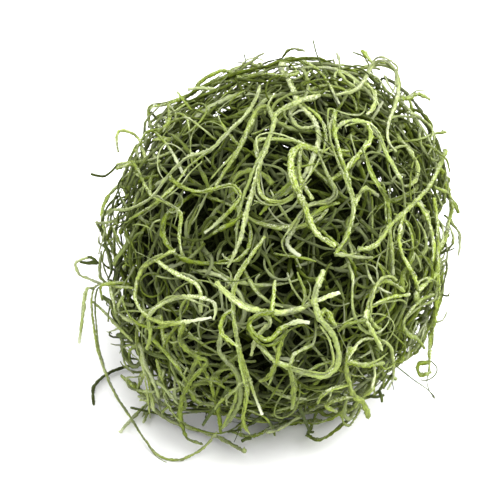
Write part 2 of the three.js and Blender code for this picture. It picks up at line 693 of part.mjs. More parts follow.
// ---- Solids ----
// Welds a three.js surface, drops its flat slivers and makes the solid it bounds.
function solidFrom(geometry) {
  geometry.deleteAttribute("normal");
  geometry.deleteAttribute("uv");
  const welded = mergeVertices(geometry, 1e-4);
  const index = Array.from(welded.index.array);
  const faces = [];
  for (let i = 0; i < index.length; i += 3) {
    const [a, b, c] = index.slice(i, i + 3);
    if (a !== b && b !== c && c !== a) faces.push(a, b, c);
  }
  const made = (triVerts) =>
    new wasm.Manifold(
      new wasm.Mesh({
        numProp: 3,
        vertProperties: welded.attributes.position.array,
        triVerts: new Uint32Array(triVerts),
      }),
    );
  const solid = made(faces);
  return solid.volume() > 0 ? solid : made(faces.reverse());
}

// Three-sided rings square to the strand, which don't twist as it goes; both ends are closed.
function strandSolid(line, narrow) {
  const last = line.length - 1;
  const ahead = line.map((_, i) =>
    unit(add(line[Math.min(i + 1, last)], line[Math.max(i - 1, 0)], -1)),
  );
  const sides = [unit(cross(ahead[0], Math.abs(ahead[0][2]) < 0.8 ? [0, 0, 1] : [1, 0, 0]))];
  for (let i = 1; i <= last; i += 1) {
    sides.push(unit(add(sides[i - 1], ahead[i], -dot(sides[i - 1], ahead[i]))));
  }
  const rows = last + 2;
  const surface = (u, v, target) => {
    const row = Math.round(v * rows);
    const i = clamp(row - 1, 0, last);
    const turn = (2 * Math.PI * (Math.round(u * SIDES) % SIDES)) / SIDES;
    const end = clamp((last - i) / (TIP_RUN * last), 0, 1);
    const radius = STRAND * (narrow ? TIP + (1 - TIP) * end : 1);
    let p = line[i];
    if (row === rows) {
      p = add(p, ahead[last], CAP);
    } else if (row > 0) {
      p = add(p, sides[i], radius * Math.cos(turn));
      p = add(p, cross(ahead[i], sides[i]), radius * Math.sin(turn));
    }
    target.set(...p);
  };
  return solidFrom(new ParametricGeometry(surface, SIDES, rows));
}

// The heart is a tall dome with shallow hollows, cut flat where it rests.
function heartSolid() {
  const shape = new THREE.IcosahedronGeometry(1, HEART_FACES);
  const spots = shape.getAttribute("position");
  for (let i = 0; i < spots.count; i += 1) {
    const [x, y, z] = [spots.getX(i), spots.getY(i), spots.getZ(i)];
    const hollow =
      0.5 + 0.5 * Math.sin(7.3 * x + 3 * z) * Math.sin(8.1 * y + 1.3) + 0.3 * Math.sin(9.1 * z - 4 * x);
    const fade = clamp((z + 0.8) / 0.5, 0, 1);
    const swell = 1 - HEART_DENTS * hollow * fade;
    spots.setXYZ(
      i,
      HEART_MIDDLE[0] + HEART[0] * x * swell,
      HEART_MIDDLE[1] + HEART[1] * y * swell,
      HEART_MIDDLE[2] + HEART[2] * z * swell,
    );
  }
  return solidFrom(shape).trimByPlane([0, 0, 1], 0);
}

const bodies = new Map([["matted_heart", [heartSolid()]]]);
for (const { node, first, count } of strands) {
  if (!bodies.has(node)) bodies.set(node, []);
  bodies.get(node).push(strandSolid(points.slice(first, first + count), true));
}

const bunch = new THREE.Group();
bunch.name = "spanish_moss_bunch";
for (const [node, solids] of bodies) {
  const joined = wasm.Manifold.union(solids).asOriginal().simplify(0.02).decompose();
  const whole = joined.reduce((a, b) => (b.volume() > a.volume() ? b : a));
  const { vertProperties, triVerts } = whole.getMesh();
  const geometry = new THREE.BufferGeometry();
  geometry.setAttribute("position", new THREE.BufferAttribute(vertProperties, 3));
  geometry.setIndex(new THREE.BufferAttribute(triVerts, 1));
  geometry.computeVertexNormals();
  const slot = node.startsWith("dead_stem") ? "dead_stem" : "moss_green";
  const mesh = new THREE.Mesh(
    geometry,
    new THREE.MeshStandardMaterial({ color: COLOURS[slot], roughness: 0.85 }),
  );
  mesh.name = node;
  bunch.add(mesh);
}
export default bunch;
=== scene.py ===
"""Spanish moss bunch: the finished look of a ball of dyed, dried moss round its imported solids.

Every stem and leaf follows the same settled line as its solid, as a finer oval strand with frayed
sides, striations and scales. More strands fill the inside, and stray fibres stand out of it.
Lines are in millimetres until a mesh is made of them, and meshes are in metres.
"""

import functools
import math

import bpy
import numpy as np
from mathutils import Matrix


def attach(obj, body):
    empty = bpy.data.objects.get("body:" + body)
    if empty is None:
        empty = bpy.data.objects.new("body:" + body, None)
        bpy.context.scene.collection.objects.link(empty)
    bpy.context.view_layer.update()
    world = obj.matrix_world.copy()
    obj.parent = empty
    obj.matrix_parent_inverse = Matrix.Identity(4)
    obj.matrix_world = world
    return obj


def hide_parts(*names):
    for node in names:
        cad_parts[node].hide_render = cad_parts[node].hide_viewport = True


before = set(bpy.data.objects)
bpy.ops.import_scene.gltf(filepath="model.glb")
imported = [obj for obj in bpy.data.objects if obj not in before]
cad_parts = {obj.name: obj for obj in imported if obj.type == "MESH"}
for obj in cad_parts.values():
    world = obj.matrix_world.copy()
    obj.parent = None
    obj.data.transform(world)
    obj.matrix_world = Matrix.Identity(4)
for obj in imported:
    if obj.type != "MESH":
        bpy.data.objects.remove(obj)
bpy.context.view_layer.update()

bl_info = {
    "name": "Spanish Moss Bunch",
    "version": (1, 0, 0),
    "blender": (4, 5, 0),
    "location": "3D View > Sidebar > Moss",
    "description": "Builds a tangled ball of curled moss strands and its studio",
    "category": "Object",
}

METRE = 0.001  # metres in a millimetre

# ---- The ball, its heart and its strands, as the solids have them, in millimetres ----
BALL = [35, 40, 38]  # half width, half depth, half height
BALL_MIDDLE = [0, 0, 36]
CROWN_FULL = 2  # 2 would be an ellipsoid's roundness; more is squarer
FOOT_FULL = 2.2  # the lower half slumps and is fuller
NEAREST = 60  # where a line of sight starts to look for the ball
SIGHT_STEP = 0.5
LEVEL_STEP = 0.01  # how far off a level is compared to find the way out
HEART = [23.5, 27, 31]  # half width, half depth, half height
HEART_MIDDLE = [0, 0, 29]
HEART_DENTS = 0.2  # share of the radius its hollows go in
HEART_CLEAR = 0.7  # bare space kept round the heart
HOOPS = 42  # short strands standing out of the heart
HOOP_LENGTH = [18, 28]
HOOP_LEVEL = [0.72, 0.88]  # shares of the ball's radius
HOOP_CURL = [0.06, 0.2]  # radians of turn for each millimetre
HOOP_ROOT = 0.84  # share of the heart's radius at which a hoop starts
HOOP_OUT = 1.3  # how much more it heads out at first than along
HOOP_LEAN = 0.8
HOOP_SEED = 7411
STRAND = 0.78  # corner radius of a strand, which has three sides
STRAND_GAP = 0.26  # least space between strands of two stems
RING_MOST = 5  # longest straight run between two rings
RING_LEAST = 2
RING_TURN = 0.74  # turn, in radians, that asks for a ring
FINE_STEP = 0.8  # length of a step along a line before it is thinned
STEER = 0.22  # how strongly a growing strand is steered to its level
CLIMB = 4  # how steeply it climbs for each whole level that it is off
CLIMB_MOST = 0.6
FULL_TURN = 6.3  # radians, near enough for a drawn phase
STEMS = 27
STEM_LENGTH = [36, 54]
STEM_CURL = [0.03, 0.11]
STEM_SWAY = 0.05  # how far a strand sways between levels
STEM_SEED = 90001
SEED_STEP = 7919  # from one stem's seed to the next
LEAVES = 4  # to a stem
LEAF_LENGTH = [22, 38]
LEAF_CURL = [0.05, 0.2]
LEAF_SWAY = 0.07
LEAF_LEAN = 1.8  # how far the axis that it turns about may lean
LEAF_OPEN = [0.5, 1.2]  # radians between a leaf and its stem
LEAF_APART = 2.2  # nearer to its root than this, a laid leaf's first point is left out
OUTER_LEVEL = [0.82, 0.99]  # shares of the ball's radius
FRONT_LEVEL = [0.78, 0.86]  # those that pass under the front stems
FRONT_SIDE = 0.3  # cosine, to the eye, of the last direction that is under them
GOLDEN_TURN = 2.399963  # radians between neighbours on a golden spiral
SPIRAL_TOP = 0.97  # how high the spirals start, as a share of the way up
HOOP_SPAN = 1.8  # how far down they run: 2 would be to the very bottom
PLACE_SPAN = 1.92
PLACES = 160  # places over the ball a stem may start from; it takes the barest
TRIES = 4  # ways a leaf may go; it takes the barest
CROWD = 8  # how far off, in millimetres, a strand still crowds a place
CROWD_SKIP = 8  # points by its root that a leaf isn't judged by
CROWD_EVERY = 4
GRID = 0.21  # millimetres to a step; x runs right and y runs down
GRID_MIDDLE = [250, 241]
BALL_ON_GRID = [278, 247]
GRID_WIDTH = 500
ABOVE = math.radians(40)  # how steeply the grid is looked down on
EYE = 480  # distance of the eye from the ball's middle
PASSES = 160  # passes that keep the strands' bends and draw lone stems closer
LAST_PASSES = 40  # passes that only ease apart
KEEP_SHAPE = 0.25  # share of its bend that a ring wins back in a pass
SPACE = 2 * STRAND + STRAND_GAP
SLACK = 0.02  # what a pair keeps over the least space
MEETING = 0.0001  # a pair nearer than this is pushed along the way out of the ball
OFF_FLOOR = 0.03
PUSH_MOST = 1.6  # sum of the shares of its pushes that a ring takes in a pass
NEAR = 3  # how far outside the gap a pair is still watched
RENEW = 8  # passes between two searches for near pairs
BATCH = 256  # runs searched at once
TINY = 1e-9
# Where the ball swells or falls in: a direction in shares of BALL, by how much, how widely.
SWELLS = [
    ([-0.65, -0.25, -0.72], 0.17, 0.12),
    ([0.71, 0.47, 0.53], 0.12, 0.15),
    ([0.51, -0.57, -0.64], -0.1, 0.11),
    ([0, -0.66, -0.75], -0.04, 0.1),
    ([-0.4, 0.55, 0.73], -0.04, 0.12),
]

# Each line: its lift off the ball at both ends, in millimetres, then its points on the grid.
FRONT_STEMS = {
    "stem_top_left": [
        [0, 1, 243, 80, 232, 73, 222, 71, 210, 74, 200, 82, 195, 91, 183, 98, 165, 104, 151, 107,
            148, 114, 150, 126, 160, 137, 168, 147, 175, 160, 182, 174],
        [1, 0, 168, 148, 158, 156, 145, 160, 128, 162, 115, 164],
        [1, 0, 145, 160, 141, 148, 138, 139, 131, 133, 119, 131, 116, 141, 118, 152],
        [2, 1, 165, 104, 170, 116, 164, 128, 156, 131],
        [0, 0, 232, 73, 240, 66, 250, 64, 260, 67],
    ],
    "stem_crown_trunk": [
        [2, 3, 320, 99, 308, 100, 295, 107, 282, 113, 274, 120, 275, 128, 272, 138, 267, 149, 261,
            164, 257, 180, 250, 202, 245, 222, 241, 240, 232, 262, 228, 269],
        [3, 1, 276, 119, 268, 110, 258, 112, 252, 122, 247, 134, 240, 150, 227, 170, 216, 188],
        [2, 2, 258, 175, 260, 186, 267, 195, 278, 199, 291, 193, 300, 184, 308, 173, 312, 162],
        [3, 1, 262, 158, 255, 151, 260, 143, 275, 140, 295, 144, 315, 151, 334, 158],
        [2, 0, 247, 212, 238, 220, 225, 229, 210, 237],
    ],
    "stem_crown_left": [
        [1, 2, 262, 88, 256, 104, 247, 118, 233, 130, 226, 140, 213, 152, 200, 156, 184, 164, 173,
            176, 163, 191, 150, 204, 130, 213, 113, 217, 107, 240, 101, 258],
        [1, 2, 211, 153, 199, 163, 185, 174, 177, 187, 165, 199, 148, 211, 131, 221],
        [2, 3, 173, 176, 181, 187, 192, 193, 208, 193, 224, 188, 235, 187, 242, 193, 240, 203, 228,
            216, 214, 227, 206, 234],
        [2, 1, 152, 203, 148, 190, 143, 177, 135, 164],
        [1, 2, 161, 195, 171, 207, 182, 214, 184, 228, 181, 242, 184, 258],
    ],
    "stem_crown_right": [
        [0, 1, 287, 58, 281, 67, 288, 76, 293, 87, 297, 98, 304, 109, 314, 117, 320, 128, 319, 141,
            316, 151, 311, 163, 304, 175],
        [1, 0, 284, 62, 294, 56, 304, 61, 313, 64, 320, 69, 327, 77, 334, 89, 341, 101],
        [0, 1, 300, 102, 306, 95, 309, 86, 307, 75, 303, 65],
        [1, 2, 319, 131, 328, 142, 340, 148, 352, 150],
        [1, 2, 297, 98, 291, 110, 295, 121, 304, 127, 316, 124],
    ],
    "stem_middle_loops": [
        [3, 3, 314, 158, 300, 153, 290, 159, 286, 171, 287, 183, 292, 194, 298, 206, 302, 221, 309,
            236, 320, 247, 331, 253],
        [3, 2, 311, 157, 319, 171, 327, 186, 332, 196, 329, 203, 318, 204, 305, 210, 296, 224, 288,
            240, 287, 250, 299, 258],
        [1, 1, 288, 188, 278, 200, 264, 210, 254, 222],
        [2, 0, 304, 228, 318, 215, 336, 209],
        [2, 1, 302, 155, 297, 170, 300, 185, 304, 196, 312, 204],
    ],
    "stem_right_arches": [
        [4, 2, 334, 112, 332, 127, 336, 143, 340, 160, 346, 178, 352, 196, 353, 208, 349, 228, 342,
            244, 334, 255],
        [3, 1, 334, 133, 342, 124, 356, 121, 369, 125, 378, 135, 382, 148, 389, 160, 400, 180],
        [2, 0, 368, 125, 369, 138, 358, 149, 351, 159, 341, 168, 326, 178],
        [2, 1, 353, 199, 361, 191, 370, 191, 379, 196],
        [2, 2, 339, 249, 348, 257, 360, 258, 372, 258],
    ],
    "stem_right_drape": [
        [0, 3, 441, 152, 436, 165, 428, 184, 415, 200, 401, 214, 387, 228, 378, 240, 371, 249, 356,
            250],
        [2, 2, 388, 227, 386, 214, 382, 199, 374, 187, 366, 175, 361, 162, 357, 150],
        [2, 1, 398, 217, 395, 238, 396, 254, 402, 268, 408, 281, 411, 294],
        [1, 1, 413, 203, 425, 220, 431, 242, 430, 262],
        [2, 1, 392, 223, 390, 244, 390, 262, 391, 276],
    ],
    "stem_top_right": [
        [1, 1, 335, 97, 345, 95, 356, 91, 364, 81, 371, 68, 381, 61, 391, 66, 397, 78, 398, 92,
            394, 108, 388, 126, 388, 140, 396, 152],
        [0, 0, 396, 104, 409, 98, 424, 93, 430, 100],
        [1, 0, 391, 118, 408, 117, 423, 121, 433, 132, 434, 144, 428, 156],
        [0, 0, 371, 70, 365, 61, 361, 51],
        [1, 2, 364, 81, 372, 92, 374, 106, 366, 116],
    ],
    "stem_left_ring": [
        [2, 2, 176, 250, 164, 255, 152, 262, 143, 269, 138, 280, 136, 294, 139, 306, 147, 315, 160,
            321, 174, 324, 188, 321, 200, 319, 212, 317],
        [2, 1, 156, 261, 171, 270, 185, 278, 197, 284, 202, 296, 202, 312],
        [3, 2, 151, 317, 157, 308, 167, 301, 182, 297, 198, 297, 212, 300, 219, 308, 217, 320],
        [2, 3, 178, 323, 180, 335, 187, 349, 200, 358, 209, 361, 199, 371, 189, 385, 183, 399, 181,
            412, 184, 427, 190, 438, 204, 443],
        [1, 0, 146, 314, 152, 328, 151, 342, 148, 350],
    ],
    "stem_trailing_loop": [
        [0, 0, 132, 290, 114, 288, 100, 285, 92, 293, 92, 312, 94, 329, 97, 348, 103, 366, 110,
            385, 120, 403, 130, 417, 139, 431, 147, 443, 154, 452, 164, 458, 175, 460, 186, 458,
            197, 452, 207, 444, 217, 431],
        [0, 0, 98, 285, 91, 279, 84, 279, 77, 272, 76, 263, 82, 257, 92, 257],
        [1, 0, 94, 290, 86, 291, 83, 306, 82, 326, 79, 344],
        [0, 0, 92, 298, 100, 307, 113, 319, 126, 330, 137, 340],
        [-1, -1, 118, 288, 112, 298, 118, 305, 128, 308],
    ],
    "stem_lower_middle": [
        [2, 2, 270, 236, 260, 251, 250, 264, 243, 275, 240, 290, 240, 306, 242, 322, 246, 340, 252,
            360, 258, 378, 262, 392, 266, 403, 270, 413],
        [2, 3, 240, 300, 231, 312, 227, 322, 226, 332, 233, 342, 244, 347],
        [3, 1, 230, 339, 222, 349, 230, 361, 239, 372, 242, 386, 241, 400, 234, 414, 222, 427],
        [3, 2, 241, 346, 243, 360, 248, 376, 249, 392, 246, 408, 244, 422, 250, 434],
        [1, 1, 256, 372, 247, 386, 232, 396, 222, 408],
    ],
    "stem_coil": [
        [3, 1, 217, 282, 225, 292, 235, 300, 247, 306, 262, 311, 276, 312, 290, 311, 303, 307, 313,
            302, 326, 298, 340, 292],
        [4, 3, 273, 312, 258, 315, 250, 324, 256, 334, 267, 340, 277, 336, 285, 327, 296, 322, 310,
            323],
        [2, 1, 304, 306, 307, 297, 302, 286, 298, 272],
        [2, 1, 272, 310, 274, 296, 276, 280],
        [2, 1, 262, 311, 270, 322, 264, 331, 252, 341, 249, 356],
    ],
    "stem_big_loop": [
        [2, 3, 320, 268, 317, 281, 312, 291, 311, 303, 315, 313, 323, 323, 331, 334, 336, 347, 336,
            360, 330, 370, 321, 375, 309, 374, 296, 369, 285, 364, 272, 360, 261, 353, 257, 343],
        [3, 2, 284, 364, 281, 350, 280, 338, 286, 328],
        [3, 2, 288, 364, 294, 353, 303, 346, 312, 344],
        [3, 1, 292, 367, 292, 380, 293, 394, 291, 408],
        [2, 2, 276, 362, 270, 374, 258, 380],
        [2, 1, 313, 306, 321, 307, 328, 315, 332, 324],
    ],
    "stem_right_rings": [
        [2, 1, 404, 288, 393, 279, 381, 279, 373, 287, 369, 299, 368, 312, 372, 320, 380, 326],
        [2, 1, 369, 309, 376, 301, 386, 296, 398, 293, 412, 291],
        [2, 1, 368, 305, 364, 315, 367, 326, 373, 335, 377, 344],
        [1, 1, 367, 314, 356, 317, 344, 321, 336, 328],
        [1, 0, 398, 281, 404, 272, 412, 262, 416, 250],
    ],
    "stem_right_fringe": [
        [1, 0, 433, 198, 436, 220, 437, 242, 436, 264, 437, 284, 434, 308, 430, 330, 428, 350, 428,
            372],
        [1, 2, 435, 292, 420, 300, 409, 311, 403, 323, 406, 333, 416, 338, 424, 348],
        [0, 0, 428, 361, 419, 362, 416, 369, 421, 376, 430, 372],
        [0, 0, 437, 252, 444, 240, 449, 222, 453, 205, 447, 188, 444, 171, 434, 158],
        [0, 0, 436, 278, 424, 284, 415, 294, 416, 304],
    ],
    "stem_left_fringe": [
        [0, -1, 166, 300, 150, 312, 138, 322, 134, 336, 138, 352, 145, 368, 150, 384, 153, 398,
            155, 409],
        [0, 0, 137, 344, 128, 350, 128, 362],
        [0, 0, 135, 340, 141, 350, 144, 362, 151, 375, 157, 386, 160, 397],
        [0, 0, 138, 325, 124, 318, 121, 306, 126, 296],
        [0, 0, 146, 370, 141, 380, 138, 389, 146, 392, 149, 399, 141, 399],
        [0, -24, 152, 392, 154, 402, 156, 411],
    ],
    "stem_left_foot": [
        [-1, -1, 160, 316, 160, 330, 165, 344, 158, 352, 157, 364, 161, 377, 163, 390, 168, 401,
            176, 406],
        [-1, -2, 163, 338, 171, 336, 172, 348, 176, 359, 183, 367, 194, 370, 206, 368, 218, 371],
        [-1, -1, 160, 322, 148, 322, 144, 334, 145, 346, 150, 352],
        [0, -1, 162, 345, 176, 328, 181, 342, 184, 352, 196, 358, 210, 360],
        [-1, -1, 159, 370, 151, 378, 154, 388, 149, 397],
    ],
    "stem_foot_curls": [
        [0, 0, 198, 362, 206, 372, 210, 384, 213, 396, 217, 408, 219, 421, 220, 437],
        [-1, -1, 211, 388, 200, 384, 193, 392, 196, 402, 207, 407, 216, 406],
        [-1, -1, 208, 378, 220, 374, 231, 367, 239, 358],
        [-1, -1, 203, 368, 193, 375, 187, 386, 177, 391, 177, 399, 187, 400],
        [-1, -1, 214, 398, 221, 390, 226, 380, 237, 376],
    ],
    "stem_front_low": [
        [1, -3, 348, 338, 344, 354, 346, 370, 350, 383, 360, 389, 365, 404],
        [2, 1, 345, 352, 358, 356, 371, 360, 382, 356],
        [0, -2, 347, 377, 334, 378, 322, 384, 316, 394],
        [0, -1, 352, 384, 340, 390, 328, 391, 324, 398, 334, 402],
        [1, 0, 346, 345, 358, 337, 372, 336, 388, 340, 392, 356, 390, 374, 383, 387],
    ],
}
# Strands that lie out on the floor round the foot of the ball.
FLOOR_STEMS = {
    "stem_front_floor": [
        [0, 0, 322, 421, 306, 421, 291, 423, 274, 427, 259, 434, 246, 437, 232, 432],
        [0, 0, 296, 422, 286, 410, 279, 398, 276, 386],
        [0, 0, 270, 429, 262, 418, 252, 422, 244, 428],
    ],
    "stem_left_floor": [
        [0, 0, 181, 409, 170, 411, 160, 410, 150, 407, 140, 413, 130, 424, 117, 438],
        [0, 0, 151, 407, 146, 418, 140, 429],
        [0, 0, 147, 408, 139, 400, 129, 389, 118, 381],
        [0, 0, 168, 411, 160, 404, 150, 402],
    ],
}
LIES_STILL = {"stem_front_floor"}  # the rest give way to its main strand
DEAD_STEMS = {
    "dead_stem_left": [
        [0, 0, 200, 372, 178, 368, 156, 364, 138, 365, 128, 366, 115, 370, 103, 377, 95, 386,
            92, 396, 95, 404],
    ],
    "dead_stem_low": [
        [0, 0, 128, 416, 138, 418, 150, 421, 159, 424, 168, 427, 177, 426],
    ],
}

# ---- What the scene adds ----
FLOOR_CLEAR = 0.00002  # metres between the lowest points and the floor
BLUNT = 0.35  # share of its half width that a strand's end is drawn out
CURVE_STEP = 0.35  # millimetres between the points of a curve, before its rings are evened out
LAID_STEP = 0.38  # millimetres between the rings of a finished strand
GROWN_STEP = 0.7
STEM_SIDES = 8
HOOP_SIDES = 7
FINE_SIDES = 6
HEART_ROWS = 90
HEART_AROUND = 120
PAINTED_SHADE_LEVELS = [0.99, 0.81]  # levels at which painted shade starts to darken a strand, and at which it is fully dark
LEAST_HEIGHT = 0.7  # how near to the floor a drifting strand may come
COMPANION_HEIGHT = 0.5
FIBRE_FORM = (0.9, 0.08)  # flatness and fray
TWIG_FORM = (0.85, 0.12)
SHEEN_TINT = (0.8, 0.9, 0.45, 1)
SEEDS = {"stems": 4000, "heart": 77, "inner": 901, "outer": 902, "ends": 661, "fibres": 55}
# How the finer strands drift, in the words of drift(): levels, lengths, curls and so on.
DRIFTS = {
    "inner": {"level": (0.6, 0.94), "length": (22, 42), "curl": (0.06, 0.3), "drop": 0.01},
    "outer": {
        "level": (0.85, 1.02), "length": (18, 40), "curl": (0.06, 0.36), "drop": 0.03,
        "lean": 1.3, "hold": 0.16, "rise": 0.15, "most": 1.01,
    },
    "ends": {
        "level": (0.9, 1.0), "length": (5, 13), "curl": (0.0, 0.22), "drop": 0.06,
        "lean": 1.6, "hold": 0.05, "rise": 0.8, "step": 0.6, "most": 1.06,
    },
    "fibres": {
        "level": (0.84, 1.01), "length": (10, 28), "curl": (0.03, 0.2), "drop": 0.0,
        "lean": 1.0, "hold": 0.2, "rise": 0.2, "most": 1.03,
    },
}
# Ends bleached paler than the rest: (stem, which line): how pale.
PALE_ENDS = {
    ("stem_lower_middle", 0): 1.0,
    ("stem_left_ring", 0): 0.9,
    ("stem_top_left", 0): 0.7,
    ("stem_coil", 1): 0.8,
    ("stem_middle_loops", 1): 0.8,
    ("stem_crown_left", 2): 0.5,
    ("stem_trailing_loop", 2): 0.7,
}
STOUT = 0.95  # a strand's share of the set width
STOUTNESS = {  # stems finer or stouter than the rest
    "stem_trailing_loop": 0.72,
    "stem_crown_left": 0.85,
    "stem_top_left": 0.85,
    "stem_top_right": 0.9,
    "stem_big_loop": 1.15,
    "stem_middle_loops": 1.1,
    "stem_left_foot": 0.9,
    "stem_left_floor": 0.85,
    "dead_stem_left": 0.72,
    "dead_stem_low": 0.6,
}
# Small dark pieces: half width at both ends, then a line as above.
TWIGS = [
    [0.2, 0.09, 4, 1, 375, 348, 386, 358, 400, 369, 414, 380, 427, 389, 434, 396, 435, 399,
        432, 396],
    [0.14, 0.09, 0, 0, 428, 372, 427, 383, 430, 392, 434, 397],
    [0.14, 0.12, 0, 0, 431, 361, 437, 368, 435, 375, 428, 380, 421, 380],
    [0.12, 0.08, 0, 0, 440, 271, 445, 268, 451, 269],
    [0.12, 0.08, 0, 0, 433, 333, 433, 343, 431, 349],
    [0.14, 0.08, 0, 0, 239, 430, 236, 438, 234, 442],
    [0.12, 0.08, 0, 0, 392, 382, 393, 386, 394, 390],
    [0.12, 0.08, 0, 0, 388, 60, 396, 60, 404, 63],
    [0.16, 0.1, 0, 0, 339, 61, 341, 67, 344, 74],
    [0.3, 0.14, 1, 0, 327, 74, 320, 62, 316, 52, 313, 40],
    [0.2, 0.12, 0, 0, 246, 72, 246, 63, 244, 54],
    [0.12, 0.12, 0, 0, 237, 62, 245, 63, 253, 63],
    [0.42, 0.36, 0, 0, 242, 441, 246, 439, 251, 438],
    [0.3, 0.24, 0, 0, 228, 432, 234, 431, 240, 430],
    [0.36, 0.3, 0, 0, 253, 422, 264, 417, 273, 428],
    [0.44, 0.3, 0, 0, 300, 408, 309, 430, 313, 432],
    [0.4, 0.3, 0, 0, 353, 405, 358, 403, 363, 400],
    [0.42, 0.3, 0, 0, 367, 396, 376, 397, 384, 395],
    [0.4, 0.3, 0, 0, 379, 390, 381, 396, 382, 402],
    [0.36, 0.26, 0, 0, 383, 388, 388, 381, 392, 374],
    [0.3, 0.62, 0, 0, 80, 262, 88, 263, 96, 262],
    [0.5, 0.3, 0, 0, 97, 264, 94, 259, 88, 257],
    [0.5, 0.36, 1, 1, 103, 297, 112, 303, 121, 308],
    [0.5, 0.5, 0, 0, 118, 335, 124, 336, 131, 337],
    [0.3, 0.24, 0, 0, 91, 174, 99, 176, 105, 176, 112, 171, 117, 165],
    [0.34, 0.22, 0, 0, 151, 112, 157, 119, 163, 126],
    [0.5, 0.3, 1, 0, 228, 388, 220, 403, 211, 413, 203, 425],
    [0.6, 0.5, 1, 0, 146, 350, 156, 355, 169, 358],
    [0.34, 0.2, 1, 1, 104, 244, 110, 256, 112, 268, 108, 280],
    [0.3, 0.16, 1, 1, 118, 196, 108, 206, 103, 218, 100, 232],
    [0.26, 0.16, 1, 1, 122, 178, 118, 186, 121, 200, 128, 212],
    [0.34, 0.2, 2, 2, 246, 175, 249, 188, 253, 200, 256, 214],
    [0.3, 0.16, 2, 2, 336, 208, 330, 222, 318, 232, 306, 240],
    [0.16, 0.1, 3, 3, 190, 268, 206, 276, 224, 281, 244, 280, 262, 272],
]

# ---- Small vector sums on plain lists ----
def add(p, q, s=1.0):
    return [p[0] + q[0] * s, p[1] + q[1] * s, p[2] + q[2] * s]


def scaled(p, s):
    return [p[0] * s, p[1] * s, p[2] * s]


def dot(p, q):
    return p[0] * q[0] + p[1] * q[1] + p[2] * q[2]


def cross(p, q):
    return [
        p[1] * q[2] - p[2] * q[1],
        p[2] * q[0] - p[0] * q[2],
        p[0] * q[1] - p[1] * q[0],
    ]


def size_of(p):
    return math.sqrt(dot(p, p))


def unit(p):
    return scaled(p, 1 / (size_of(p) or 1))


def apart(p, q):
    return size_of(add(p, q, -1))


def clamp(x, low, high):
    return min(high, max(low, x))


def between(span, t):
    return span[0] + (span[1] - span[0]) * t


def turned(p, axis, angle):
    """p turned about a unit axis."""
    c = math.cos(angle)
    along = add(scaled(p, c), cross(axis, p), math.sin(angle))
    return add(along, axis, dot(axis, p) * (1 - c))


def units(vectors):
    """unit for an array of vectors."""
    return vectors / np.maximum(np.linalg.norm(vectors, axis=-1, keepdims=True), TINY)


def drawer(seed):
    """Even draws between 0 and 1: each state is 48271 times the last, modulo a large prime."""
    state = [seed]

    def draw():
        state[0] = state[0] * 48271 % 2147483647
        return state[0] / 2147483647

    return draw


def askew(draw, most=1):
    """A drawn offset on each axis."""
    return [most * (draw() - 0.5) for _ in range(3)]


def either_way(draw, chance=0.5):
    return -1 if draw() < chance else 1


# ---- The ball and the heart as fields: 1 at the surface, less inside and more outside ----
def reach_along(way):
    """How far off the ball's surface is in a direction, both in shares of BALL."""
    full = FOOT_FULL if way[2] < 0 else CROWN_FULL
    flat = math.hypot(way[0], way[1])
    reach = 1 / (flat**full + abs(way[2]) ** full) ** (1 / full)
    for toward, rise, spread in SWELLS:
        reach *= 1 + rise * math.exp((dot(way, toward) - 1) / spread)
    return reach


def ball_level(p):
    """A point's distance from the ball's middle, as a share of the surface's that way."""
    q = [(p[n] - BALL_MIDDLE[n]) / BALL[n] for n in range(3)]
    return size_of(q) / reach_along(unit(q))


def out_of_ball(p):
    """The way in which the level rises fastest."""
    here = ball_level(p)
    x, y, z = p
    near = ([x + LEVEL_STEP, y, z], [x, y + LEVEL_STEP, z], [x, y, z + LEVEL_STEP])
    return unit([ball_level(q) - here for q in near])


def ball_levels(points):
    """ball_level for an array of points."""
    q = (points - BALL_MIDDLE) / BALL
    far = np.linalg.norm(q, axis=-1)
    way = units(q)
    full = np.where(way[..., 2] < 0, FOOT_FULL, CROWN_FULL)
    flat = np.hypot(way[..., 0], way[..., 1])
    reach = (flat**full + np.abs(way[..., 2]) ** full) ** (-1 / full)
    for toward, rise, spread in SWELLS:
        reach = reach * (1 + rise * np.exp((way @ np.array(toward) - 1) / spread))
    return far / reach


def outs_of_ball(points):
    """out_of_ball for an array of points."""
    here = ball_levels(points)
    return units(np.stack([ball_levels(points + d) - here for d in LEVEL_STEP * np.eye(3)], -1))


def heart_levels(points):
    """1 on the heart's surface, without its dents."""
    return np.linalg.norm((points - HEART_MIDDLE) / HEART, axis=-1)


def outs_of_heart(points):
    """The way square to the heart's surface."""
    return units((points - HEART_MIDDLE) / np.square(HEART))


# ---- From the front grid to the ball ----
RIGHT = [1.0, 0.0, 0.0]
UP = [0.0, math.sin(ABOVE), math.cos(ABOVE)]
TOWARD = [0.0, -math.cos(ABOVE), math.sin(ABOVE)]
GRID_ORIGIN = add(
    add(BALL_MIDDLE, RIGHT, (GRID_MIDDLE[0] - BALL_ON_GRID[0]) * GRID),
    UP,
    (BALL_ON_GRID[1] - GRID_MIDDLE[1]) * GRID,
)


def point_at(x, y, nearness):
    """The point seen at a place on the grid, so much nearer to the eye than the ball's middle."""
    shrink = GRID * (EYE - nearness) / EYE
    p = add(GRID_ORIGIN, RIGHT, (x - GRID_MIDDLE[0]) * shrink)
    return add(add(p, UP, (GRID_MIDDLE[1] - y) * shrink), TOWARD, nearness)


def floor_nearness(y):
    """Where the line of sight comes down to a strand that lies on the floor."""
    up = (GRID_MIDDLE[1] - y) * GRID * UP[2]
    return (STRAND - GRID_ORIGIN[2] - up) / (TOWARD[2] - up / EYE)


def ball_nearness(x, y):
    """Where the line of sight enters the ball, or passes nearest to it."""
    best, least = 0.0, math.inf
    nearness = NEAREST
    while nearness > -NEAREST:
        level = ball_level(point_at(x, y, nearness))
        if level < 1:
            return nearness + SIGHT_STEP * (1 - level) / (least - level)
        if level < least:
            best, least = nearness, level
        nearness -= SIGHT_STEP
    return best


